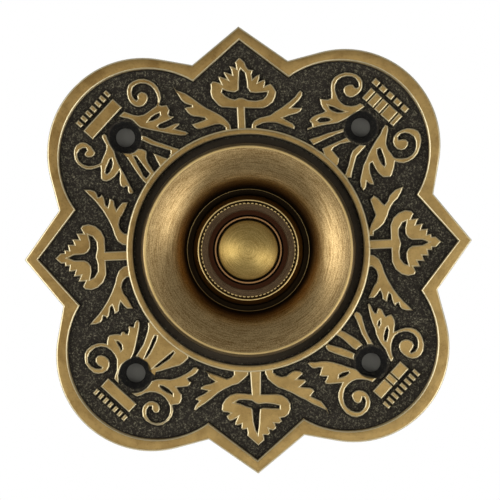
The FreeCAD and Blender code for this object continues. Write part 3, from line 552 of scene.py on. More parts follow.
class Modeller:
    """A mesh in the making, in millimetres."""

    def __init__(self) -> None:
        """Start with an empty mesh."""
        self.mesh = bmesh.new()

    @staticmethod
    def at(across: float, up: float, height: float) -> Vector:
        """A place on the face, in front of the wall by height."""
        return Vector((across, -height, up))

    def loop(self, points: list[Point], height: float) -> list[bmesh.types.BMEdge]:
        """A closed loop of edges through points of the face at one height."""
        corners = [self.mesh.verts.new(self.at(*point, height)) for point in points]
        return [self.mesh.edges.new(pair) for pair in zip(corners, corners[1:] + corners[:1])]

    def circle(self, centre: Point, radius: float, height: float,
               steps: int) -> list[bmesh.types.BMEdge]:
        """Make a round loop of edges.

        Args:
            centre: its middle on the face.
            radius: its radius.
            height: its distance in front of the wall.
            steps: how many edges.

        Returns:
            The edges.
        """
        upright = Matrix.Rotation(math.radians(90), 4, "X")
        place = Matrix.Translation(self.at(*centre, height)) @ upright
        made = bmesh.ops.create_circle(self.mesh, segments=steps, radius=radius, matrix=place)
        return list({edge for corner in made["verts"] for edge in corner.link_edges})

    def bridge(self, first: list[bmesh.types.BMEdge], second: list[bmesh.types.BMEdge]) -> None:
        """Close the band between two loops."""
        bmesh.ops.bridge_loops(self.mesh, edges=first + second)

    def fill(self, loops: list[list[bmesh.types.BMEdge]]) -> list[bmesh.types.BMFace]:
        """Fill a flat outline.

        Args:
            loops: the outline's edges and those of each hole in it.

        Returns:
            The new faces.
        """
        edges = [edge for loop in loops for edge in loop]
        made = bmesh.ops.triangle_fill(self.mesh, use_beauty=True, edges=edges)
        return [item for item in made["geom"] if isinstance(item, bmesh.types.BMFace)]

    def turn(self, profile: list[Point], steps: int, centre: Point = (0.0, 0.0)) -> None:
        """Turn a half section about an axis that stands out of the face.

        Args:
            profile: points as (radius, height).
            steps: steps of the full turn.
            centre: the axis on the face.
        """
        middle = self.at(*centre, 0.0)
        corners = [self.mesh.verts.new(middle + Vector((radius, -height, 0.0)))
                   for radius, height in profile]
        edges = [self.mesh.edges.new(pair) for pair in zip(corners, corners[1:] + corners[:1])]
        bmesh.ops.spin(self.mesh, geom=corners + edges, cent=middle, axis=AXIS,
                       angle=2 * math.pi, steps=steps, use_merge=True)

    def clean(self) -> None:
        """Merge doubles and point the faces outwards."""
        bmesh.ops.remove_doubles(self.mesh, verts=self.mesh.verts, dist=1e-4)
        bmesh.ops.recalc_face_normals(self.mesh, faces=self.mesh.faces)

    def soften(self, offset: float, segments: int = 2, least: float = 28.0,
               height: float = -1000.0) -> None:
        """Bevel the sharp edges.

        Args:
            offset: the bevel's width.
            segments: steps of the bevel.
            least: the smallest angle between two faces that counts as sharp, in degrees.
            height: only edges in front of this are bevelled.
        """
        self.clean()
        sharp = []
        for edge in self.mesh.edges:
            if len(edge.link_faces) != 2 or edge.calc_face_angle(0.0) < math.radians(least):
                continue
            if all(-corner.co.y > height for corner in edge.verts):
                sharp.append(edge)
        bmesh.ops.bevel(self.mesh, geom=sharp, offset=offset, offset_type="OFFSET",
                        segments=segments, profile=0.5, affect="EDGES", material=-1,
                        clamp_overlap=True)

    def finish(self, name: str, finish: Finish, body: Body, slot: Slot,
               nodes: tuple[str, ...] = (), smooth: float = 32.0,
               second: Finish | None = None) -> bpy.types.Object:
        """Turn the mesh into a piece of the object.

        Args:
            name: the piece's name.
            finish: its surface.
            body: the body it rides on.
            slot: the record's slot; not used.
            nodes: CAD nodes that it stands for.
            smooth: edges sharper than this many degrees stay sharp.
            second: surface of the faces with the second material, if any.

        Returns:
            The piece.
        """
        bmesh.ops.scale(self.mesh, vec=Vector((MM, MM, MM)), verts=self.mesh.verts)
        data = bpy.data.meshes.new(name)
        self.mesh.to_mesh(data)
        self.mesh.free()
        data.polygons.foreach_set("use_smooth", [True] * len(data.polygons))
        data.set_sharp_from_angle(angle=math.radians(smooth))
        piece = bpy.data.objects.new(name, data)
        bpy.context.scene.collection.objects.link(piece)
        data.materials.append(finish.material())
        if second:
            data.materials.append(second.material())
        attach(piece, body.value)
        if nodes:
            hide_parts(*nodes)
        LOG.info("%s: %d faces", name, len(data.polygons))
        return piece


def quarter_turn(point: Point, quarter: int) -> Point:
    """A point of the face turned by quarters of a circle."""
    along, across = point
    return ((along, across), (-across, along), (-along, -across), (across, -along))[quarter]


@dataclass
class Plate:
    """The cast plate: rim, sunk ground, raised ring and fixing holes."""

    reach: float = 39.8
    valley: Point = (33.31, 8.51)
    lobe_centre: float = 18.0
    lobe_radius: float = 17.0
    flank: float = 12.5
    thick: float = 4.0
    ground: float = 2.8
    ground_reach: float = 37.5
    foot: float = 0.991
    ground_centre: float = 17.2
    ground_radius: float = 15.8
    ring_inner: float = 20.5
    ring_outer: float = 21.7
    inner_draft: float = 0.1
    outer_draft: float = 0.3
    hole_offset: float = 21.0
    hole_radius: float = 1.7
    sink_radius: float = 2.9
    collar_radius: float = 3.3
    collar_top: float = 3.2
    recess_radius: float = 12.5
    recess_depth: float = 1.0
    bore: float = 8.55
    root: float = 2.4
    rim_bevel: float = 0.3
    rim_sharp: float = 40.0
    collar_bevel: float = 0.08
    side_top: float = 2.2
    arc_steps: int = 36
    hole_steps: int = 48
    bore_steps: int = 96
    ring_steps: int = 160

    def outline(self) -> list[Point]:
        """Draw the plate's outer outline.

        Returns:
            Its points.
        """
        start = -math.radians(self.flank)
        points = []
        for quarter in range(4):
            points.append(quarter_turn((self.reach, 0.0), quarter))
            points.append(quarter_turn(self.valley, quarter))
            points += self.lobe(quarter, self.lobe_centre, self.lobe_radius, start)
            points.append(quarter_turn(self.valley[::-1], quarter))
        return points

    def ground_outline(self) -> list[Point]:
        """Draw the outline of the sunk ground.

        Returns:
            Its points.
        """
        start = math.asin((self.valley[1] - self.ground_centre) / self.ground_radius)
        points = []
        for quarter in range(4):
            points.append(quarter_turn((self.ground_reach, 0.0), quarter))
            points += self.lobe(quarter, self.ground_centre, self.ground_radius, start)
        return points

    def lobe(self, quarter: int, centre: float, radius: float, start: float) -> list[Point]:
        """Draw the arc of one lobe.

        Args:
            quarter: which lobe.
            centre: both coordinates of the arc's middle.
            radius: its radius.
            start: the angle at which it starts; it ends at the mirror image.

        Returns:
            Its points.
        """
        sweep = math.pi / 2 - 2 * start
        angles = [start + sweep * step / self.arc_steps for step in range(self.arc_steps + 1)]
        drawn = [(centre + radius * math.cos(angle), centre + radius * math.sin(angle))
                 for angle in angles]
        return [quarter_turn(point, quarter) for point in drawn]

    def build(self) -> None:
        """Build and dress the plate."""
        model = Modeller()
        back = model.loop(self.outline(), 0.0)
        front = model.loop(self.outline(), self.thick)
        model.bridge(back, front)
        rim = model.loop(self.ground_outline(), self.thick)
        drawn = [(across * self.foot, up * self.foot) for across, up in self.ground_outline()]
        foot = model.loop(drawn, self.ground)
        model.bridge(rim, foot)
        model.fill([front, rim])
        wells, backs = [], []
        for quarter in range(4):
            centre = quarter_turn((self.hole_offset, self.hole_offset), quarter)
            slope = self.sink_radius - (self.collar_top - self.ground)
            depth = self.ground - slope + self.hole_radius
            mouth = model.circle(centre, slope, self.ground, self.hole_steps)
            neck = model.circle(centre, self.hole_radius, depth, self.hole_steps)
            end = model.circle(centre, self.hole_radius, 0.0, self.hole_steps)
            model.bridge(mouth, neck)
            model.bridge(neck, end)
            wells.append(mouth)
            backs.append(end)
        middle = (0.0, 0.0)
        mouth = model.circle(middle, self.bore, self.ground, self.bore_steps)
        neck = model.circle(middle, self.bore, self.recess_depth, self.bore_steps)
        step = model.circle(middle, self.recess_radius, self.recess_depth, self.bore_steps)
        end = model.circle(middle, self.recess_radius, 0.0, self.bore_steps)
        model.bridge(mouth, neck)
        model.bridge(neck, step)
        model.bridge(step, end)
        model.fill([foot, mouth] + wells)
        model.fill([back, end] + backs)
        model.soften(self.rim_bevel, 3, self.rim_sharp, self.ground + 0.5)
        model.clean()
        for face in model.mesh.faces:
            face.material_index = int(self.is_outside(face))
        model.finish("cast_plate", CAST, Body.PLATE, Slot.ANTIQUE, ("face_plate",),
                     second=CAST_BACK)
        self.build_rings()

    def is_outside(self, face: bmesh.types.BMFace) -> bool:
        """Tell whether a face lies on the plate's back or its outer side.

        Args:
            face: the face.

        Returns:
            True on the back, the outer side and the recess.
        """
        middle = face.calc_center_median()
        across, up = abs(middle.x) - self.hole_offset, abs(middle.z) - self.hole_offset
        in_hole = across ** 2 + up ** 2 < self.collar_radius ** 2 and abs(middle.y) > 0.01
        return -middle.y < self.side_top and not in_hole

    def build_rings(self) -> None:
        """Build the raised ring and the collars of the holes."""
        model = Modeller()
        inner, outer = self.ring_inner, self.ring_outer
        model.turn([(inner - self.inner_draft, self.root), (inner, self.thick), (outer, self.thick),
                    (outer + self.outer_draft, self.root)], self.ring_steps)
        model.soften(self.rim_bevel, 3)
        model.finish("raised_ring", CAST, Body.PLATE, Slot.ANTIQUE)
        model = Modeller()
        inner = self.sink_radius - (self.collar_top - self.ground)
        for quarter in range(4):
            centre = quarter_turn((self.hole_offset, self.hole_offset), quarter)
            model.turn([(inner, self.ground), (self.sink_radius, self.collar_top),
                        (self.collar_radius, self.collar_top), (self.collar_radius, self.root),
                        (inner, self.root)], self.hole_steps, centre)
        model.soften(self.collar_bevel, height=self.ground)
        model.finish("hole_collars", CAST, Body.PLATE, Slot.ANTIQUE)


# The ornament's outlines are millimetres on the face. An outline may be followed by its hollows.

# Half of a point's leaf, across and along the point's axis, and half of its sunk vein.
LEAF: list[Point] = [
    (0.85, 21.4), (0.85, 25.4), (3.3, 25.4), (4.6, 26), (5.5, 27), (5.9, 28.2), (5.7, 29.3),
    (5.2, 29.7), (4.25, 29.2), (4.35, 30.5), (3.25, 30), (3.4, 31.3), (2.35, 30.9), (2.45, 32.1),
    (1.4, 31.9), (1.5, 32.7), (0.95, 32.7), (0.95, 33.4), (0, 34.4),
]
VEIN: list[Point] = [
    (0, 27.25), (1.4, 26.9), (2.6, 26.95), (3.6, 27.6), (3.9, 28.3), (2.6, 28), (1.6, 28.05),
    (0.9, 28.5), (0.5, 29.2), (0.45, 31), (0, 32.1),
]

# The leaves of the top and bottom points, which differ from the common one.
POINT_LEAVES: dict[int, list[list[Point]]] = {
    0: [
        [
            (-0.95, 21.4), (-0.96, 25.26), (-2.2, 25.4), (-3.6, 25.55), (-4.2, 25.95),
            (-4.75, 26.6), (-5.3, 27.3), (-5.55, 28.35), (-5.4, 29.2), (-5.5, 29.85), (-5, 30.3),
            (-4.4, 30.2), (-3.6, 29.85), (-3.85, 30.4), (-4.05, 31.1), (-3.6, 31.1), (-2.45, 30.55),
            (-3, 31.55), (-2.97, 31.9), (-2.45, 31.75), (-1.55, 31.35), (-1.65, 32.05),
            (-1.95, 32.85), (-1.4, 32.8), (-0.75, 32.4), (-0.8, 32.95), (-0.95, 33.5),
            (-0.2, 34.25), (0.07, 34.2), (0.87, 33.4), (1.1, 32.6), (1.45, 32.15), (2.3, 31.95),
            (2, 31.2), (2.1, 30.4), (2.7, 30.9), (3.4, 31.2), (3.4, 30.65), (3.1, 29.8),
            (3.75, 30.1), (4.3, 30.25), (4.4, 29.75), (4.2, 29.05), (5.25, 29.45), (5.8, 28.8),
            (6.25, 27.9), (6.05, 27), (5.6, 26.05), (4.65, 25.4), (3.75, 25.05), (2.25, 25.1),
            (0.87, 25.2), (0.53, 25.25), (0.53, 21.4),
        ],
        [
            (-3.25, 28.7), (-2.55, 28.35), (-1.2, 28.1), (-0.4, 28.45), (-0.33, 29.95),
            (-0.16, 31.8), (0.07, 32.2), (0.75, 31.45), (1, 29.95), (1.05, 28.8), (1.55, 28),
            (2.5, 27.8), (3.6, 27.85), (4.65, 27.95), (4.4, 27.3), (3.85, 26.75), (2.5, 26.5),
            (1.1, 26.7), (0.2, 27.15), (-0.5, 27.15), (-1.2, 26.9), (-2.1, 27.15), (-2.9, 27.65),
            (-3.4, 28.25),
        ],
    ],
    2: [
        [
            (-0.7, -21.3), (-0.6, -25.6), (-2, -25.4), (-3.2, -25.3), (-4.4, -25.6), (-5.3, -26.3),
            (-5.9, -27.2), (-6, -28.2), (-5.8, -28.6), (-4.9, -28.7), (-4.5, -28.85), (-5.2, -29.3),
            (-5, -29.9), (-4.6, -30.25), (-4, -30.1), (-3.3, -29.7), (-3.7, -30.5), (-3.75, -31),
            (-3.3, -31.1), (-2.6, -30.9), (-2.7, -31.6), (-2.5, -31.9), (-2.1, -31.9),
            (-1.7, -31.8), (-1.6, -32.4), (-1.7, -33), (0.25, -34.85), (1.4, -33.9), (1.3, -33),
            (1.6, -33), (2.1, -33.1), (2.5, -32.7), (2.3, -32), (2.9, -32.3), (3.5, -32),
            (3.6, -31.6), (3.3, -31), (4.1, -31.1), (4.7, -30.7), (4.4, -30.1), (5.2, -30),
            (5.9, -29.5), (6.3, -28.6), (6.3, -27.6), (5.8, -26.7), (5, -26.1), (4.2, -25.8),
            (3, -25.75), (1.1, -25.7), (1.35, -21.3),
        ],
        [
            (-3.6, -27), (-2.8, -26.6), (-1.8, -26.6), (-0.6, -26.8), (0.1, -27.3), (0.6, -27.5),
            (2, -27.4), (3.2, -27.6), (4.3, -27.9), (4.3, -28.4), (3.2, -28.3), (1.4, -28.1),
            (0.8, -28.3), (0.65, -29.2), (0.5, -31), (0.2, -32.6), (-0.1, -32), (-0.4, -30.5),
            (-0.45, -28.5), (-0.7, -28), (-1.6, -27.7), (-2.7, -27.2),
        ],
    ],
}

# The sprigs beside the leaves; the left one is mirrored for both lower ones of the side points.
SPRIG: list[Point] = [
    (1.5, 21.4), (1.6, 22.4), (2.1, 23), (3, 23.45), (5, 23.85), (5.8, 24.4), (7, 25.1),
    (8.2, 25.9), (9.5, 26.9), (10.1, 27.7), (10.5, 28), (10.9, 27.6), (10.8, 27), (10.2, 26.2),
    (9.2, 25.3), (8.8, 25), (10.7, 24.9), (10.5, 24.3), (9.8, 23.9), (8.5, 23.6), (7.2, 23.2),
    (8, 22.7), (8.9, 22.2), (9.3, 21.6), (9.1, 21.05), (7.8, 21.6), (6.9, 22), (6, 22.35),
    (4.8, 22.45), (3.6, 22.4), (2.4, 21.9), (2.4, 21.3),
]
TOP_LEFT_SPRIG: list[Point] = [
    (-2.1, 21.4), (-2.15, 22.3), (-2.5, 22.9), (-3.2, 23.7), (-4, 24.3), (-5, 24.9), (-6.3, 25.6),
    (-7, 26.1), (-8, 26.9), (-9, 27.7), (-10, 28.4), (-10.8, 28.75), (-11.5, 28.95), (-12.1, 29.6),
    (-11.6, 28.7), (-11.2, 27.9), (-10.8, 27.2), (-10.2, 26.6), (-9.5, 26.3), (-8.9, 26.1),
    (-8.9, 25.95), (-9.8, 25.9), (-10.25, 25.7), (-9.8, 25), (-9.2, 24.4), (-8.6, 24.15),
    (-7.5, 24), (-6.7, 23.8), (-6.5, 23.6), (-7.3, 23.3), (-8, 23.1), (-9.1, 22.8), (-8.6, 22.2),
    (-8.1, 21.85), (-7.5, 21.85), (-6.5, 22.1), (-5, 22.5), (-4.1, 22.55), (-3.5, 22.3),
    (-3.1, 21.9), (-3.1, 21.4),
]
LEFT_SPRIG: list[Point] = [
    (-21.3, 1.7), (-22.3, 1.9), (-23.2, 2.6), (-23.7, 3.7), (-24, 4.9), (-24.6, 6.3), (-25.5, 8),
    (-26.4, 9.3), (-27.2, 10.3), (-28.1, 11.2), (-28.8, 12.05), (-27.6, 12), (-26.8, 11.7),
    (-26.45, 11.2), (-26.3, 10.6), (-25.9, 10.7), (-25.65, 11.1), (-25.3, 10.6), (-25.1, 9.9),
    (-25, 9.1), (-24.65, 8.8), (-24.4, 9.5), (-24.3, 10.3), (-23.9, 10.15), (-23.45, 9.8),
    (-23.35, 8.9), (-23.1, 8.2), (-22.6, 8.9), (-22, 9.5), (-20.9, 9.5), (-21.3, 8.7), (-21.9, 7.5),
    (-22.5, 6.7), (-22.8, 5.6), (-22.6, 4.8), (-22.3, 4.3), (-21.8, 3.9), (-21.3, 3.9),
]
RIGHT_SPRIG: list[Point] = [
    (21.4, 1.5), (21.6, 2.6), (22, 3.7), (22.85, 5.2), (22.4, 6.7), (22, 8), (22.7, 8.75),
    (23.5, 8.2), (24.3, 7.2), (24.6, 7), (25.1, 7.6), (25.5, 8.6), (26.6, 9.6), (28.1, 10.1),
    (27.6, 9), (27, 8), (26.2, 7.3), (25.7, 6.6), (25.3, 5.8), (25.1, 5.1), (24.3, 3.6),
    (23.4, 2.8), (22.5, 2.3), (22.4, 1.5),
]
BOTTOM_LEFT_SPRIG: list[Point] = [
    (-0.95, -21.3), (-0.95, -22.2), (-1.9, -23), (-2.8, -23.7), (-4, -24), (-5.2, -24.5),
    (-6.5, -25.2), (-7.8, -26.2), (-8.8, -26.9), (-10, -27.6), (-10.6, -28.1), (-11, -28),
    (-10.6, -27.1), (-9.95, -26.4), (-10.5, -26.25), (-10.6, -26), (-10, -25.6), (-9, -25.2),
    (-8.2, -24.7), (-9.2, -24.5), (-9.6, -24.35), (-9.5, -24), (-8.8, -23.6), (-7.5, -23.4),
    (-6.9, -23.1), (-7.7, -22.6), (-8.1, -22.2), (-8.2, -21.6), (-8.5, -21.2), (-8, -21.45),
    (-6.5, -22), (-4.8, -22.7), (-3.9, -22.4), (-3.6, -22), (-3.6, -21.3),
]
BOTTOM_RIGHT_SPRIG: list[Point] = [
    (1.95, -21.3), (2, -22.1), (2.4, -23.1), (3.2, -23.9), (4.2, -24.7), (5, -25), (6.5, -25.7),
    (8, -26.6), (9, -27.1), (10, -27.8), (11.2, -28.4), (12.2, -28.9), (12.6, -29.1), (13, -29.7),
    (12.8, -28.9), (12.3, -28.1), (11.8, -27.4), (11, -27), (10.2, -26.6), (10, -26.4),
    (10.4, -25.9), (10.65, -25.6), (10.4, -25.2), (9.9, -24.9), (8.9, -24.8), (8.2, -24.7),
    (9, -24.1), (9.3, -23.8), (9, -23.4), (8.4, -23.35), (7.7, -23.3), (8.2, -22.9), (8.7, -22.5),
    (8.7, -22.2), (8.3, -21.9), (7.3, -21.75), (6.6, -22), (5.8, -22.6), (4.9, -22.75), (4, -22.4),
    (3.5, -21.9), (3.5, -21.3),
]

# The acanthus leaf with its scroll at the upper right, and the slit in it.
ACANTHUS: list[Point] = [
    (25.3, 21.2), (25.8, 20.95), (25.85, 20.2), (25.55, 19.1), (25.35, 17.8), (25.65, 16.85),
    (26.15, 16.1), (26.6, 15.4), (27, 15.2), (28, 15.1), (29, 15.2), (29.9, 15.7), (30.4, 16.4),
    (30.6, 17.2), (30.6, 18), (30.3, 18.8), (29.5, 19.4), (28.7, 19.6), (28, 19.4), (27.5, 18.9),
    (27.6, 18.4), (28.3, 18.5), (28.9, 18.4), (29.3, 18), (29.2, 17.3), (28.7, 16.7), (28, 16.5),
    (27.3, 16.7), (26.75, 17.3), (26.5, 18.1), (26.7, 19), (27.3, 19.7), (28.2, 20.2),
    (29.2, 20.45), (30.3, 20.3), (31.1, 19.9), (31.5, 19.2), (31.65, 18.2), (31.4, 17),
    (30.9, 15.8), (30.1, 14.95), (29.2, 14.45), (28.3, 14.2), (27.5, 14.3), (26.8, 14.55),
    (26.7, 14), (26.45, 13.1), (26.15, 12.3), (25.85, 11.85), (24.55, 11.85), (24, 12.3),
    (23.45, 13), (23, 13.9), (22.7, 14.6), (22.35, 14.4), (22.25, 13.5), (22.35, 12.7),
    (22.6, 11.85), (22.85, 11), (22.9, 10.6), (22.2, 10.7), (21.6, 11.2), (21.5, 10.5), (21.3, 10),
    (20.9, 9.6), (20.45, 10.3), (20.35, 11.4), (20.7, 12.8), (21.05, 14.1), (21.6, 15.15),
    (22.1, 16.2), (22.85, 17.5), (23.65, 18.7), (24.35, 19.6), (24.7, 20.4),
]
SLIT: list[Point] = [
    (24.15, 17.05), (23.75, 16.85), (23.7, 16.2), (24, 15.15), (24.45, 14.25), (24.85, 13.85),
    (25, 14.15), (24.85, 15.3), (24.55, 16.2), (24.35, 16.85),
]

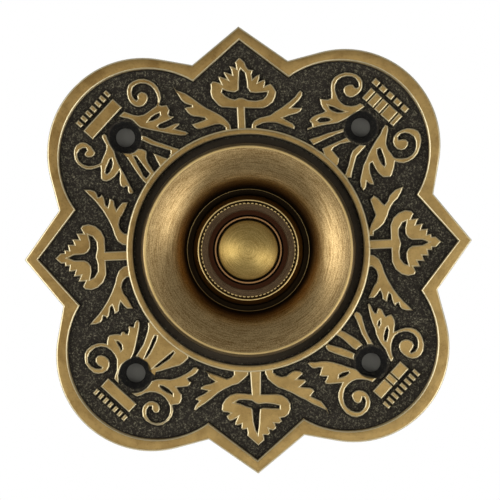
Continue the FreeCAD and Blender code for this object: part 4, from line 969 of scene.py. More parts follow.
# The other leaves with scrolls, by corner and side.
SCROLLS: dict[tuple[int, int], list[list[Point]]] = {
    (0, 1): [
        [
            (21.85, 24.6), (21, 24), (20, 23.4), (19, 22.85), (18, 22.35), (17, 21.9),
            (16.2, 21.75), (15, 21.65), (13.5, 21.4), (12.4, 21.15), (11.4, 20.8), (11.45, 21.2),
            (12.3, 21.5), (12.3, 21.9), (11.8, 22.5), (12.3, 23.1), (13, 23.5), (13.7, 23.7),
            (14.3, 23.85), (14.75, 24.1), (14.3, 24.6), (14, 25.3), (13.85, 26.4), (14.5, 26.25),
            (15.3, 26.15), (15.9, 26.4), (15.95, 27.3), (15.9, 28.2), (16.1, 29.3), (16.7, 30.1),
            (17.6, 30.6), (18.6, 30.85), (19.6, 30.75), (20.6, 30.4), (21.3, 29.8), (21.65, 29.1),
            (21.6, 28.1), (21.3, 27.4), (20.7, 26.8), (20, 26.4), (19.3, 26.25), (18.6, 26.6),
            (18.2, 27.2), (18.15, 27.9), (18.5, 28.4), (19.2, 28.65), (19.9, 28.6), (20.2, 28.1),
            (20.6, 27.95), (20.9, 28.3), (20.85, 28.9), (20.4, 29.6), (19.8, 30), (18.9, 30.1),
            (17.9, 29.9), (17.2, 29.4), (16.8, 28.7), (16.7, 27.9), (16.9, 27), (17.2, 26.2),
            (17.7, 25.5), (18.4, 25), (19.4, 24.8), (20.3, 24.9), (21, 25.25), (21.5, 25),
        ],
        [
            (15.35, 25.05), (16.2, 24.75), (17.2, 24.2), (18.2, 23.85), (17.8, 23.75), (16.9, 23.8),
            (16.1, 24.1), (15.6, 24.5),
        ],
        [
            (13.3, 22.5), (13.8, 22.85), (14.7, 22.9), (15.4, 22.75), (15.7, 22.5), (15.3, 22.3),
            (14.4, 22.2), (13.7, 22.2),
        ],
    ],
    (1, 0): [
        [
            (-22, 24.8), (-21, 25.65), (-20.2, 25.3), (-19.3, 24.95), (-18.5, 24.8), (-17.6, 24.9),
            (-16.9, 25.3), (-16, 25.9), (-15.3, 26.35), (-14.98, 26.8), (-14.95, 27.6),
            (-15.1, 28.4), (-15.5, 29.2), (-16.1, 29.9), (-16.9, 30.35), (-17.9, 30.45),
            (-18.7, 30.2), (-19.25, 29.75), (-19.45, 29.1), (-19.4, 28.4), (-19.1, 27.8),
            (-18.7, 27.5), (-18.45, 27.8), (-18.6, 28.3), (-18.3, 28.7), (-17.8, 29),
            (-17.2, 28.85), (-16.8, 28.5), (-16.6, 28), (-16.7, 27.4), (-17, 26.9), (-17.5, 26.45),
            (-18.1, 26.25), (-18.7, 26.3), (-19.3, 26.6), (-19.85, 27.1), (-20.2, 27.8),
            (-20.38, 28.6), (-20.35, 29.5), (-20, 30.35), (-19.2, 30.95), (-18.2, 31.3),
            (-17.2, 31.3), (-16.3, 31), (-15.5, 30.5), (-14.8, 29.7), (-14.4, 28.7), (-14.3, 27.8),
            (-14.5, 27), (-14.75, 26.6), (-14.3, 26.35), (-13.3, 26.45), (-13.1, 26),
            (-12.85, 25.5), (-13.1, 24.8), (-12.9, 24.45), (-12.2, 24.4), (-12.25, 24.1),
            (-13, 23.7), (-14, 23.3), (-14.8, 23), (-15.05, 22.7), (-14.8, 22.4), (-14, 22.35),
            (-13, 22.7), (-12, 23.1), (-11.2, 23.1), (-11.3, 22.75), (-12.1, 22.15), (-11.2, 21.9),
            (-10.2, 21.6), (-9.6, 21.2), (-10.2, 20.85), (-11, 20.85), (-12.5, 21.1), (-14.5, 21.6),
            (-16.5, 22.1), (-18.2, 22.6), (-18.7, 23), (-19.5, 23.9), (-20.3, 24.3), (-21.2, 24.5),
        ],
        [
            (-16.7, 23.7), (-16.2, 24.3), (-15.4, 24.8), (-14.7, 25.05), (-14.65, 24.7),
            (-15.1, 24.2), (-15.9, 23.85),
        ],
    ],
    (1, 1): [
        [
            (-25.65, 16), (-26.3, 15.75), (-27.3, 15.5), (-28.2, 15.6), (-29, 16), (-29.7, 16.6),
            (-30.15, 17.4), (-30.3, 18.4), (-30.2, 19.3), (-29.8, 20), (-29.1, 20.45),
            (-28.4, 20.5), (-27.8, 20.25), (-27.1, 19.7), (-26.7, 19), (-26.4, 18.6),
            (-26.55, 18.1), (-27, 17.75), (-27.6, 17.7), (-28.1, 17.85), (-28.4, 18.2),
            (-28.2, 18.7), (-27.9, 19), (-28.1, 19.4), (-28.6, 19.4), (-29.2, 19.1), (-29.6, 18.5),
            (-29.6, 17.8), (-29.3, 17.1), (-28.6, 16.5), (-27.7, 16.2), (-26.8, 16.25),
            (-25.9, 16.5), (-25.5, 16.8), (-25.2, 17.5), (-24.8, 18.3), (-24.5, 19), (-24.45, 19.7),
            (-24.8, 20.4), (-25.15, 21.1), (-25.1, 21.6), (-24.7, 21.85), (-24.3, 21.5),
            (-24.1, 20.8), (-23.8, 20), (-23.3, 19.1), (-23, 18.6), (-22.8, 17.6), (-22.4, 16.5),
            (-21.9, 15.4), (-21.3, 14.3), (-20.9, 13.4), (-20.4, 12.3), (-20, 11.5), (-19.95, 11.2),
            (-20.3, 10.85), (-20.75, 11), (-20.95, 11.4), (-20.95, 12.1), (-21.2, 12.3),
            (-21.6, 12.05), (-22.1, 12.3), (-22.35, 12.9), (-22.35, 13.8), (-22.2, 14.6),
            (-22.3, 15.1), (-22.6, 14.7), (-23.2, 14), (-24, 13.5), (-24.7, 13.3), (-25.3, 13.45),
            (-25.6, 13.8), (-25.65, 14.6), (-25.6, 15.4),
        ],
        [
            (-24.75, 14.9), (-24.5, 14.65), (-24, 15.1), (-23.6, 15.8), (-23.45, 16.6),
            (-23.6, 17.3), (-23.85, 17.2), (-24.3, 16.3), (-24.65, 15.5),
        ],
    ],
    (2, 0): [
        [
            (-24.1, -22.7), (-24.9, -21.8), (-24.7, -21.2), (-24.35, -20.3), (-24.3, -19.3),
            (-24.25, -18.5), (-24.6, -17.6), (-25.2, -16.8), (-26, -16.2), (-27, -16), (-28, -16.2),
            (-28.9, -16.9), (-29.35, -17.8), (-29.3, -18.7), (-28.8, -19.4), (-28, -19.85),
            (-27.1, -19.9), (-26.95, -19.7), (-27.6, -19.3), (-28.05, -18.7), (-28, -18),
            (-27.6, -17.55), (-27, -17.45), (-26.3, -17.7), (-25.75, -18.2), (-25.5, -18.8),
            (-25.6, -19.6), (-26, -20.3), (-26.8, -20.75), (-27.6, -20.85), (-28.5, -20.6),
            (-29.3, -19.8), (-29.9, -18.9), (-30, -17.9), (-29.9, -17), (-29.4, -16.3),
            (-28.6, -15.7), (-27.6, -15.35), (-26.6, -15.3), (-25.9, -15.5), (-25.85, -15),
            (-25.65, -14.3), (-25.3, -13.95), (-24.5, -13.85), (-23.7, -13.85), (-23.4, -13.95),
            (-23.1, -13.5), (-22.8, -13.45), (-22.5, -13.8), (-22.1, -13.95), (-21.9, -13.3),
            (-22, -12.8), (-21.7, -12.5), (-21.3, -12.7), (-21, -12.7), (-20.8, -12),
            (-20.4, -11.55), (-20.05, -11.55), (-19.85, -12), (-19.95, -12.8), (-20.2, -13.9),
            (-20.5, -15.1), (-20.8, -16.3), (-21.2, -17.5), (-21.7, -18.45), (-22.6, -18.85),
            (-23.4, -19.4), (-23.85, -20.3), (-24.1, -21.3), (-24.05, -22),
        ],
        [
            (-24.2, -15.1), (-23.8, -15.2), (-23.3, -15.8), (-23.2, -16.6), (-23.4, -16.8),
            (-23.6, -16.2), (-23.9, -15.7),
        ],
    ],
    (2, 1): [
        [
            (-21.9, -24.45), (-21, -24.45), (-20, -24.2), (-19.1, -23.6), (-18.5, -22.9),
            (-18.2, -22.45), (-17.3, -22.2), (-16, -22.2), (-15, -22.35), (-14, -22.2),
            (-13, -21.85), (-12, -21.4), (-11.2, -20.9), (-10.7, -20.45), (-10.1, -20.4),
            (-9.7, -20.8), (-10.2, -21.5), (-11, -22), (-11.8, -22.35), (-11.6, -22.7),
            (-11.2, -23), (-11.4, -23.5), (-12, -23.8), (-13, -23.85), (-13.8, -23.85),
            (-13.5, -24.4), (-12.95, -25.1), (-12.95, -25.9), (-13.3, -26.7), (-13.7, -26.9),
            (-14.5, -26.95), (-14.75, -27.05), (-14.65, -27.3), (-14.55, -28), (-14.9, -29),
            (-15.6, -29.8), (-16.6, -30.4), (-17.6, -30.5), (-18.6, -30.2), (-19.5, -29.6),
            (-20.1, -28.8), (-20.2, -27.8), (-20, -27), (-19.5, -26.4), (-18.8, -26.05),
            (-18.1, -26.05), (-17.4, -26.4), (-17, -27), (-16.95, -27.6), (-17.2, -28.1),
            (-17.7, -28.3), (-18.1, -28.1), (-18.4, -27.6), (-18.4, -27), (-18.9, -27),
            (-19.3, -27.6), (-19.4, -28.4), (-19.1, -29.1), (-18.6, -29.7), (-17.8, -30),
            (-17, -29.95), (-16.1, -29.6), (-15.5, -28.9), (-15.2, -28), (-15.2, -27.2),
            (-15.5, -26.4), (-16, -25.6), (-16.7, -25), (-17.6, -24.6), (-18.5, -24.5),
            (-19.4, -24.6), (-20.2, -25), (-20.9, -25.15), (-21.4, -24.9),
        ],
        [
            (-16.8, -23.35), (-16.2, -23.5), (-15.3, -24.1), (-14.6, -24.9), (-14.6, -25.2),
            (-15.4, -24.7), (-16.3, -24.1), (-16.8, -23.6),
        ],
    ],
    (3, 0): [
        [
            (21.8, -23.75), (21.4, -23.6), (20.6, -23.35), (19.9, -23.2), (19.2, -22.9),
            (18.6, -22.3), (18.1, -21.95), (17, -21.6), (15.5, -21), (14, -20.5), (13, -20.3),
            (12, -20.3), (11, -20.4), (10, -20.3), (9.6, -20.6), (10, -21.1), (10.4, -21.5),
            (10.9, -21.6), (11.6, -21.45), (12.1, -21.5), (11.8, -22.3), (11.6, -22.9),
            (12.2, -23.05), (13, -23.1), (12.9, -23.4), (12.5, -24), (12.7, -24.4), (13.5, -24.5),
            (14.6, -24.45), (15.6, -24.4), (15.2, -25.2), (14.85, -26), (14.75, -26.9),
            (14.95, -27.9), (15.4, -28.9), (16.1, -29.8), (17, -30.4), (18, -30.6), (19, -30.3),
            (19.9, -29.6), (20.4, -28.8), (20.55, -27.9), (20.35, -27), (19.9, -26.3),
            (19.3, -25.9), (18.6, -25.7), (18, -25.8), (17.4, -26.2), (17.2, -26.7), (17.35, -27.3),
            (17.7, -27.9), (18.2, -28.15), (18.7, -28), (19, -27.6), (19.1, -27.1), (19.4, -27.1),
            (19.65, -27.8), (19.5, -28.6), (19.1, -29.2), (18.5, -29.6), (17.8, -29.6), (17, -29.3),
            (16.3, -28.7), (15.9, -28), (15.75, -27), (15.85, -26.2), (16.1, -25.4), (16.7, -24.7),
            (17.4, -24.2), (18.2, -23.9), (19.2, -23.9), (20.2, -24.1), (21, -24.5), (21.4, -24.15),
        ],
        [
            (15.1, -23.4), (15.2, -22.9), (15.8, -22.6), (16.8, -22.4), (16.9, -22.6), (16.4, -23),
            (15.7, -23.3),
        ],
    ],
    (3, 1): [
        [
            (24.45, -21), (24.7, -20.85), (25, -20.3), (24.75, -19.7), (24.65, -18.8),
            (24.7, -17.9), (24.95, -17.1), (25.4, -16.4), (26.1, -15.95), (27, -15.75),
            (27.8, -15.8), (28.6, -16.2), (29.2, -16.9), (29.4, -17.7), (29.3, -18.6),
            (28.9, -19.2), (28.2, -19.55), (28, -19.35), (28.5, -18.7), (28.7, -18.1),
            (28.4, -17.5), (27.8, -17.15), (27.2, -17.05), (26.5, -17.3), (26.05, -17.8),
            (25.95, -18.5), (26.2, -19.2), (26.8, -19.9), (27.5, -20.4), (28.3, -20.65),
            (29.2, -20.5), (29.9, -20), (30.35, -19.2), (30.5, -18.2), (30.3, -17), (29.9, -16.1),
            (29.2, -15.4), (28.3, -15.05), (27.3, -15), (26.4, -15.2), (25.7, -15.5), (25.3, -15.6),
            (25.35, -15.1), (25.5, -14.5), (25.5, -13.7), (25.2, -12.9), (24.9, -12.55),
            (24.4, -12.6), (23.9, -12.85), (23.7, -12.5), (23.3, -11.6), (22.9, -11.3),
            (22.5, -11.25), (22.4, -11.7), (22.3, -12.1), (22, -12.15), (21.7, -11.7),
            (21.3, -10.7), (21, -10.4), (20.75, -10.6), (20.85, -11.5), (21.1, -12.8),
            (21.5, -14.2), (21.85, -15), (22, -16), (22.5, -17.2), (23, -18), (23.5, -18.7),
            (23.8, -19.5), (24.1, -20.3),
        ],
        [
            (24.1, -14.8), (24.25, -15.3), (24.1, -16.3), (23.8, -17.2), (23.5, -17.1),
            (23.45, -16.4), (23.7, -15.5), (23.95, -14.9),
        ],
        [
            (22.85, -13.5), (22.85, -14.1), (22.6, -14.6), (22.45, -14.3), (22.6, -13.7),
        ],
    ],
}

# Rays from the upper right fixing hole to the raised ring.
RAYS: list[list[Point]] = [
    [
        (11.6, 19.2), (13.2, 19.6), (15, 20.2), (17.3, 20.7), (17.9, 20.85), (17.95, 20.25),
        (16.5, 19.8), (14.5, 19), (12.4, 18.1),
    ],
    [
        (13.9, 17.5), (14.4, 15.6), (16.6, 13.4), (17.2, 12.7), (16.3, 14.1), (16.8, 14.9),
        (16.9, 15.6), (15.7, 17.1), (16, 17.5), (17.2, 18.1), (18.6, 18.3), (19.2, 18.35),
        (18.4, 19.3), (17.2, 18.8),
    ],
    [
        (20.6, 17.9), (19.3, 16.9), (18.9, 16), (18.4, 14.3), (17.7, 12.5), (18.1, 12.1),
        (18.9, 12), (19.1, 13), (19.6, 14.6), (20, 15.8), (21.5, 17.3), (21.8, 17.7),
    ],
]

# Rays of the other corners.
CORNER_RAYS: dict[int, list[list[list[Point]]]] = {
    1: [
        [
            [
                (-18.15, 21.25), (-17.3, 21.05), (-15.8, 20.2), (-14, 19.5), (-12.4, 18.85),
                (-11.6, 18.6), (-11.4, 18.2), (-12.9, 17.2), (-13.4, 17.3), (-13.1, 17.8),
                (-13.1, 18.25), (-14.6, 18.8), (-16.5, 19.5), (-18.2, 20.4),
            ],
        ],
        [
            [
                (-16.2, 18), (-15.2, 17.6), (-14.2, 17.15), (-13.6, 16.95), (-13.7, 16.6),
                (-15.1, 15.35), (-15.25, 15.9), (-15.7, 16.8),
            ],
        ],
        [
            [
                (-21.8, 18.5), (-21.3, 18.25), (-20.2, 18.1), (-19.5, 18.35), (-18.8, 18.9),
                (-18.1, 18.85), (-17.35, 18.45), (-17.25, 18.1), (-17.35, 17.2), (-17.1, 16.3),
                (-16.5, 15.3), (-16.2, 14.8), (-15.9, 14.6), (-17.6, 12.5), (-18.2, 13.1),
                (-18.7, 13.8), (-19.6, 15.2), (-20.3, 16.4), (-20.9, 17.4), (-21.2, 17.9),
            ],
            [
                (-19.6, 17.55), (-19.2, 17.5), (-18.3, 16.2), (-17.5, 15), (-16.95, 14.35),
                (-17.3, 13.9), (-17.6, 13.65), (-18, 14), (-18.5, 15.2), (-19.2, 16.6),
            ],
        ],
    ],
    2: [
        [
            [
                (-20.9, -18), (-20.2, -17), (-19.5, -16), (-19, -14.8), (-18.6, -13.7),
                (-18.4, -12.8), (-18.5, -12.1), (-17.85, -11.8), (-16.9, -13.1), (-15.8, -14.4),
                (-14.6, -15.65), (-13.3, -16.8), (-11.5, -18.05), (-11.5, -18.8), (-12.3, -19.5),
                (-13.1, -20), (-14.5, -20.3), (-16, -20.7), (-17.3, -21), (-17.95, -21.1),
                (-18.1, -20.4), (-18.5, -19.5), (-19.2, -18.75), (-20, -18.2),
            ],
            [
                (-19.25, -18.35), (-18.9, -17.6), (-18.2, -16.3), (-17.7, -15.2), (-17.3, -14.5),
                (-16.95, -14.55), (-17.1, -15.2), (-17.7, -16.4), (-18.4, -17.6), (-19, -18.3),
            ],
            [
                (-17.7, -20.15), (-17, -19.6), (-15.8, -18.7), (-14.6, -17.8), (-14.15, -17.45),
                (-14, -17.65), (-14.8, -18.6), (-15.9, -19.3), (-17, -20),
            ],
        ],
    ],
    3: [
        [
            [
                (18.1, -19.2), (17.4, -18.8), (15.9, -18.1), (14.4, -17.6), (13.4, -17.3),
                (13, -17.5), (12.95, -18), (13.4, -18.6), (14.5, -19.1), (16, -19.7), (17.2, -20.1),
                (17.95, -20.35), (17.95, -19.8),
            ],
        ],
        [
            [
                (19.6, -17.75), (19, -17), (18.1, -16.3), (17.2, -15.7), (16.4, -15.2), (15.9, -15),
                (15.3, -14.6), (14.2, -15.7), (14.9, -15.8), (15.6, -16.2), (16.4, -16.9),
                (17.2, -17.7), (17.8, -18.3), (18.4, -18.65), (18.9, -18.2),
            ],
        ],
        [
            [
                (21.5, -17.8), (21.1, -17), (20.6, -16), (20.2, -14.9), (19.9, -13.6),
                (19.7, -12.6), (19.3, -12), (18.8, -11.75), (18.35, -11.9), (18.2, -12.4),
                (18.6, -13.3), (19.1, -14.7), (19.5, -15.9), (20.1, -17), (20.4, -17.75),
                (21, -17.75),
            ],
        ],
    ],
}


def mirrored(half: list[Point]) -> list[Point]:
    """A whole outline from its half, whose ends may lie on the axis."""
    return half + [(-across, along) for across, along in reversed(half) if across != 0]


@dataclass
class Ornament:
    """The cast relief on the ground: leaves, sprigs, acanthus scrolls, bricks and rays."""

    root: float = 2.5
    top: float = 3.8
    crown: float = 0.06
    crown_width: float = 0.12
    shoulder: float = 0.2
    shoulder_width: float = 0.1
    draft: float = 0.3
    joint: float = 0.1
    gap: float = 0.42
    inner_courses: tuple[Point, ...] = ((33.6, 36.1), (33.7, 36.0), (33.6, 35.65), (33.25, 35.35))
    outer_courses: tuple[Point, ...] = ((36.75, 37.9), (36.65, 37.95), (36.3, 37.45), (36.0, 37.5))
    inner_joints: tuple[tuple[float, ...], ...] = (
        (-3.5, -2.2, -0.6, 0.9, 3.2, 4.3), (-4.3, 3.7), (-3.95, 3.15), (-3.8, -0.9, 0.45, 3.7))
    outer_rows: tuple[tuple[int, float, float], ...] = (
        (5, -4.0, 4.6), (7, -4.1, 4.35), (7, -4.25, 3.7), (8, -4.4, 4.5))

    def relief(self, name: str, shapes: list[list[list[Point]]]) -> None:
        """Build one family of raised shapes.

        Args:
            name: the piece's name.
            shapes: for each shape its outline, followed by the outlines of its hollows.
        """
        model = Modeller()
        faces = []
        height = self.top - self.crown - self.shoulder
        for shape in shapes:
            faces += model.fill([model.loop(points, height) for points in shape])
        for face in faces:
            face.normal_update()
            if face.normal.dot(AXIS) < 0:
                face.normal_flip()
        base = bmesh.ops.extrude_face_region(model.mesh, geom=faces, use_keep_orig=True)
        lower = [item for item in base["geom"] if isinstance(item, bmesh.types.BMVert)]
        bmesh.ops.translate(model.mesh, verts=lower, vec=Vector((0.0, self.top - self.root, 0.0)))
        bmesh.ops.recalc_face_normals(model.mesh, faces=model.mesh.faces)
        for corner in lower:
            corner.normal_update()
        for corner in lower:
            outward = Vector((corner.normal.x, 0.0, corner.normal.z))
            if outward.length > 0.1:
                corner.co += outward.normalized() * self.draft
        for width, depth in ((self.shoulder_width, self.shoulder), (self.crown_width, self.crown)):
            bmesh.ops.inset_region(model.mesh, faces=faces, thickness=width, depth=depth,
                                   use_boundary=True, use_even_offset=True)
        bmesh.ops.recalc_face_normals(model.mesh, faces=model.mesh.faces)
        model.finish(name, CAST, Body.PLATE, Slot.ANTIQUE, smooth=12.0)

    def turned(self, points: list[Point], quarter: int) -> list[Point]:
        """An outline turned by quarters of a circle."""
        return [quarter_turn(point, quarter) for point in points]

    def brick(self, course: Point, left: float, right: float, quarter: int) -> list[list[Point]]:
        """Draw one brick.

        Args:
            course: its two distances from the middle, along the corner's diagonal.
            left: its first side, across the diagonal.
            right: its second side.
            quarter: which corner.

        Returns:
            A shape that is its outline alone.
        """
        near, far = course
        drawn = ((near, left), (far, left), (far, right), (near, right))
        root = math.sqrt(2)
        square = [((along + across) / root, (along - across) / root) for along, across in drawn]
        return [self.turned(square, quarter)]

    def build(self) -> None:
        """Build and dress the whole relief, family by family."""
        quarters = range(4)
        self.relief("point_leaves", [self.leaf(quarter) for quarter in quarters])
        drawn = [SPRIG, TOP_LEFT_SPRIG, LEFT_SPRIG, RIGHT_SPRIG, BOTTOM_LEFT_SPRIG,
                 BOTTOM_RIGHT_SPRIG]
        drawn += [[(side * across, -up) for across, up in LEFT_SPRIG] for side in (1, -1)]
        self.relief("sprigs", [[sprig] for sprig in drawn])
        rays = [[ray] for ray in RAYS]
        for corner in CORNER_RAYS.values():
            rays += corner
        self.relief("rays", rays)
        self.relief("acanthus_scrolls", [SCROLLS.get((quarter, side), [ACANTHUS, SLIT])
                                         for quarter in quarters for side in (0, 1)])
        self.relief("bricks", [brick for quarter in quarters for brick in self.courses(quarter)])

    def leaf(self, quarter: int) -> list[list[Point]]:
        """The leaf of one point with its vein."""
        common = [self.turned(mirrored(half), quarter) for half in (LEAF, VEIN)]
        return POINT_LEAVES.get(quarter, common)

    def courses(self, quarter: int) -> list[list[list[Point]]]:
        """Draw both courses of bricks of one corner.

        Args:
            quarter: which corner.

        Returns:
            The bricks' shapes.
        """
        joints, course = self.inner_joints[quarter], self.inner_courses[quarter]
        bricks = [self.brick(course, left + self.joint, right - self.joint, quarter)
                  for left, right in zip(joints, joints[1:])]
        count, first, last = self.outer_rows[quarter]
        pitch = (last - first) / count
        for index in range(count):
            left = first + index * pitch
            right = left + pitch - self.gap
            bricks.append(self.brick(self.outer_courses[quarter], left, right, quarter))
        return bricks


@dataclass
class Dish:
    """The turned bell-mouth dish with its hub; its profiles are points as (radius, height)."""

    flare: tuple[Point, ...] = (
        (18.2, 10.0), (17.0, 9.72), (16.0, 9.42), (15.0, 9.0), (14.0, 8.4), (13.0, 7.6), (12.2, 6.7),
        (11.5, 5.6), (11.1, 4.95), (10.87, 4.5))
    spigot: tuple[Point, ...] = ((7.15, 1.2), (8.5, 1.2), (8.5, 2.8), (18.95, 2.8))
    hub: tuple[Point, ...] = ((9.9, 4.5), (8.95, 6.6), (8.7, 6.6), (8.7, 5.4), (7.15, 5.4))
    lip_centre: Point = (18.3, 9.98)
    lip_size: Point = (0.65, 0.75)
    lip_steps: int = 6
    edge_bevel: float = 0.06
    edge_sharp: float = 38.0
    steps: int = 160

    def lip(self) -> list[Point]:
        """Draw the rounded lip.

        Returns:
            Its points, from the outside to the top.
        """
        points = []
        for step in range(1, self.lip_steps + 1):
            angle = math.radians(90 * step / self.lip_steps)
            points.append((self.lip_centre[0] + self.lip_size[0] * math.sin(angle),
                           self.lip_centre[1] - self.lip_size[1] * (1 - math.cos(angle))))
        return points[::-1]

    def build(self) -> None:
        """Build and dress the dish."""
        model = Modeller()
        model.turn([*self.spigot, *self.lip(), *self.flare, *self.hub], self.steps)
        model.soften(self.edge_bevel, 2, self.edge_sharp)
        dish = model.finish("bell_dish", DISH, Body.PLATE, Slot.BRUSHED, ("centre_dish",), 36.0)
        rounded = dish.modifiers.new("even_shading", "WEIGHTED_NORMAL")
        rounded.keep_sharp = True


@dataclass
class Button:
    """The domed button with its flange and stem."""

    head: float = 5.35
    edge: float = 7.3
    rise: float = 2.3
    shank: tuple[Point, ...] = (
        (5.35, 4.85), (6.25, 4.85), (6.25, 3.65), (2.0, 3.65), (2.0, -2.4), (1.05, -2.4), (1.05, 1.3),
        (0.0, 1.3))
    dome_steps: int = 12
    edge_bevel: float = 0.08
    edge_sharp: float = 35.0
    steps: int = 96

    def dome(self) -> list[Point]:
        """Draw half of the dome.

        Returns:
            Its points as (radius, height), from the middle to the edge.
        """
        radius = (self.head * self.head + self.rise * self.rise) / (2 * self.rise)
        swing = math.asin(self.head / radius)
        angles = [swing * step / self.dome_steps for step in range(self.dome_steps + 1)]
        return [(radius * math.sin(angle), self.edge + self.rise - radius * (1 - math.cos(angle)))
                for angle in angles]

    def build(self) -> None:
        """Build and dress the button."""
        model = Modeller()
        model.turn([*self.dome(), *self.shank], self.steps)
        model.soften(self.edge_bevel, 2, self.edge_sharp)
        model.finish("domed_button", DOME, Body.BUTTON, Slot.BUTTON, ("press_button",))


@dataclass
class Spring:
    """The round-wire spring that pushes the button out."""

    radius: float = 4.95
    wire: float = 0.55
    turns: int = 3
    front: float = 3.345
    rear: float = -6.195
    seat: float = -6.5
    kept: float = 0.8216
    wire_steps: int = 12
    turn_steps: int = 48

    def build(self) -> None:
        """Build and dress the spring."""
        model = Modeller()
        place = Matrix.Translation(model.at(self.radius, 0.0, self.front))
        made = bmesh.ops.create_circle(model.mesh, segments=self.wire_steps, radius=self.wire / 2,
                                       matrix=place)
        ring = made["verts"] + list({edge for corner in made["verts"]
                                     for edge in corner.link_edges})
        count = self.turn_steps * self.turns
        bmesh.ops.spin(model.mesh, geom=ring, cent=Vector((0.0, 0.0, 0.0)), axis=AXIS,
                       dvec=AXIS * ((self.rear - self.front) / count),
                       angle=2 * math.pi * self.turns, steps=count)
        ends = [edge for edge in model.mesh.edges if edge.is_boundary]
        bmesh.ops.holes_fill(model.mesh, edges=ends)
        model.clean()
        spring = model.finish("coil_spring", SPRING, Body.PLATE, Slot.SPRING, ("return_spring",),
                              50.0)
        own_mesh(spring)


@dataclass(frozen=True)
class Lamp:
    """A soft lamp that faces the plate; its level is how bright its face is, where 1 is white."""

    name: str
    place: tuple[float, float, float]
    size: Point
    level: float

    def build(self) -> None:
        """Hang the lamp."""
        data = bpy.data.lights.new(self.name, "AREA")
        data.shape = "RECTANGLE"
        data.size, data.size_y = self.size[0] * MM, self.size[1] * MM
        data.energy = self.level * math.pi * data.size * data.size_y
        lamp = bpy.data.objects.new(self.name, data)
        bpy.context.scene.collection.objects.link(lamp)
        lamp.location = Vector(self.place) * MM
        lamp.rotation_euler = (-lamp.location).to_track_quat("-Z", "Y").to_euler()


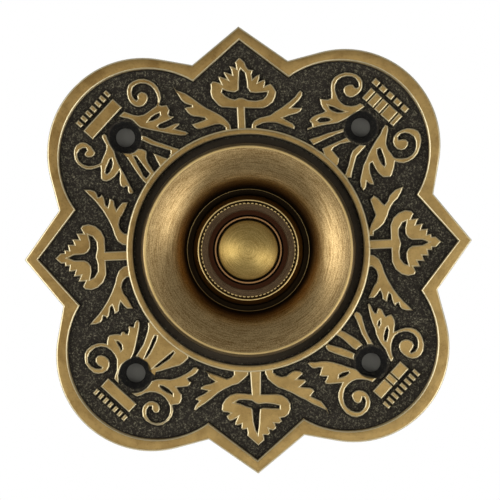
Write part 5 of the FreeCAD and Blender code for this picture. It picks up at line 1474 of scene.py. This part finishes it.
@dataclass
class Studio:
    """Floor, lamps, world and camera."""

    view_width: float = 88.9
    distance: float = 800.0
    roll: float = 2.55
    aim: float = 0.3
    front: float = 4.0
    sensor: float = 36.0
    room: Colour = (0.24, 0.24, 0.24)
    white: Colour = (1.0, 1.0, 1.0)
    # Painted shade: the grey of the wall patches behind the fixing holes.
    patch_shade: Colour = (0.3, 0.29, 0.255)
    floor_grey: Colour = (0.8, 0.8, 0.8)
    floor_place: tuple[float, float, float] = (0.0, 1460.0, -160.0)
    floor_half: float = 1500.0
    patch_offset: float = 21.0
    patch_radius: float = 4.0
    patch_height: float = -0.1
    lamps: tuple[Lamp, ...] = (
        Lamp("left_softbox", (-560.0, -480.0, 0.0), (620.0, 420.0), 2.2),
        Lamp("right_softbox", (540.0, -500.0, -300.0), (620.0, 420.0), 1.9),
        Lamp("front_panel", (140.0, -1000.0, -140.0), (700.0, 380.0), 0.8),
    )

    def build(self) -> None:
        """Build the studio."""
        self.world()
        self.floor()
        self.wall_patches()
        for lamp in self.lamps:
            lamp.build()
        self.camera()

    def world(self) -> None:
        """White behind the object, a dim room in front of it."""
        world = bpy.data.worlds.new("studio")
        bpy.context.scene.world = world
        world.use_nodes = True
        bench = Bench(world.node_tree)
        paths = bench.node("ShaderNodeLightPath")
        direction = bench.output(bench.node("ShaderNodeTexCoord"), "Generated")
        split = bench.node("ShaderNodeSeparateXYZ", inputs={0: direction})
        back = bench.output(split, 1).rise(0.0, 0.3)
        seen = bench.output(paths, "Is Glossy Ray").most(bench.output(paths, "Is Transmission Ray"))
        white = bench.output(paths, "Is Camera Ray").most(seen * back)
        colour = bench.blend(white, self.room, self.white)
        light = bench.node("ShaderNodeBackground", inputs={0: colour})
        bench.node("ShaderNodeOutputWorld", inputs={0: bench.output(light)})

    def wall_patches(self) -> None:
        """Grey wall patches seen through the fixing holes, painted darker than the pale floor as
        painted shade of the wall behind the plate, which the plate's own shadow darkens further; they
        can't be seen from behind.
        """
        model = Modeller()
        for quarter in range(4):
            centre = quarter_turn((self.patch_offset, self.patch_offset), quarter)
            model.fill([model.circle(centre, self.patch_radius, self.patch_height, 32)])
        bmesh.ops.scale(model.mesh, vec=Vector((MM, MM, MM)), verts=model.mesh.verts)
        for face in model.mesh.faces:
            face.normal_update()
            if face.normal.dot(AXIS) < 0:
                face.normal_flip()
        data = bpy.data.meshes.new("wall_patches")
        model.mesh.to_mesh(data)
        model.mesh.free()
        patches = bpy.data.objects.new("wall_patches", data)
        bpy.context.scene.collection.objects.link(patches)
        made = bpy.data.materials.new("shaded_wall_patch")
        made.use_nodes = True
        bench = Bench(made.node_tree)
        behind = bench.output(bench.node("ShaderNodeNewGeometry"), "Backfacing")
        patch_shade = bench.node("ShaderNodeBsdfDiffuse", inputs={0: (*self.patch_shade, 1.0)})
        clear = bench.node("ShaderNodeBsdfTransparent")
        mixed = bench.node("ShaderNodeMixShader", inputs={
            0: behind, 1: bench.output(patch_shade), 2: bench.output(clear)})
        bench.node("ShaderNodeOutputMaterial", inputs={0: bench.output(mixed)})
        data.materials.append(made)

    def floor(self) -> None:
        """A plain pale floor under and behind the object."""
        mesh = bmesh.new()
        bmesh.ops.create_grid(mesh, x_segments=1, y_segments=1, size=self.floor_half * MM,
                              matrix=Matrix.Translation(Vector(self.floor_place) * MM))
        data = bpy.data.meshes.new("floor")
        mesh.to_mesh(data)
        mesh.free()
        floor = bpy.data.objects.new("floor", data)
        bpy.context.scene.collection.objects.link(floor)
        made = bpy.data.materials.new("pale_floor")
        made.use_nodes = True
        bench = Bench(made.node_tree)
        paths = bench.node("ShaderNodeLightPath")
        seen = bench.output(paths, "Is Camera Ray").most(bench.output(paths, "Is Glossy Ray"))
        seen = seen.most(bench.output(paths, "Is Transmission Ray"))
        matt = bench.node("ShaderNodeBsdfDiffuse", inputs={0: (*self.floor_grey, 1.0)})
        white = bench.node("ShaderNodeEmission", inputs={0: (*self.white, 1.0)})
        mixed = bench.node("ShaderNodeMixShader", inputs={
            0: seen, 1: bench.output(matt), 2: bench.output(white)})
        bench.node("ShaderNodeOutputMaterial", inputs={0: bench.output(mixed)})
        data.materials.append(made)

    def camera(self) -> None:
        """The camera in front of the plate, turned a little as in the photograph."""
        data = bpy.data.cameras.new("camera")
        data.sensor_width = self.sensor
        data.lens = data.sensor_width * self.distance / self.view_width
        camera = bpy.data.objects.new("camera", data)
        bpy.context.scene.collection.objects.link(camera)
        camera.location = Vector((self.aim, -self.distance - self.front, 0.0)) * MM
        camera.rotation_euler = (math.radians(90), math.radians(self.roll), 0.0)
        bpy.context.scene.camera = camera


def corners(box: tuple[Vector, Vector]) -> list[list[float]]:
    """A box as plain lists."""
    return [list(corner) for corner in box]


@dataclass(frozen=True)
class Works:
    """The pieces that show the frame's own solids, by finish."""

    ring: tuple[str, ...] = ("knurled_ring",)
    turned: tuple[str, ...] = ("push_barrel", "lock_nut")
    brass: tuple[str, ...] = ("contact_bridge", "left_contact_post", "right_contact_post",
                              "left_terminal_tab", "right_terminal_tab")
    plated: tuple[str, ...] = ("bridge_screw", "left_terminal_screw", "right_terminal_screw",
                               "left_terminal_washer", "right_terminal_washer", "lock_washer")
    sprung: tuple[str, ...] = ("snap_ring",)
    moulded: tuple[str, ...] = ("contact_base",)

    def dress(self, nodes: dict[str, bpy.types.Object]) -> None:
        """Give each piece its finish.

        Args:
            nodes: the frame's nodes by name.
        """
        sets = ((self.ring, KNURLED), (self.turned, BARREL), (self.brass, CONTACTS),
                (self.plated, PLATED), (self.sprung, SPRING), (self.moulded, RESIN))
        for names, finish in sets:
            for name in names:
                data = nodes[name].data
                data.materials.clear()
                data.materials.append(finish.material())
                LOG.info("%s: %s", name, finish.name)


def main() -> None:
    """Build the studio and every piece in order."""
    logging.basicConfig(level=logging.INFO, format="%(name)s %(message)s")
    for item in list(bpy.data.objects):
        bpy.data.objects.remove(item)
    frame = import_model()
    bpy.context.scene.view_settings.view_transform = "Standard"
    Studio().build()
    Plate().build()
    Ornament().build()
    Dish().build()
    Button().build()
    Spring().build()
    Works().dress(frame["nodes"])


if __name__ == "__main__":
    main()
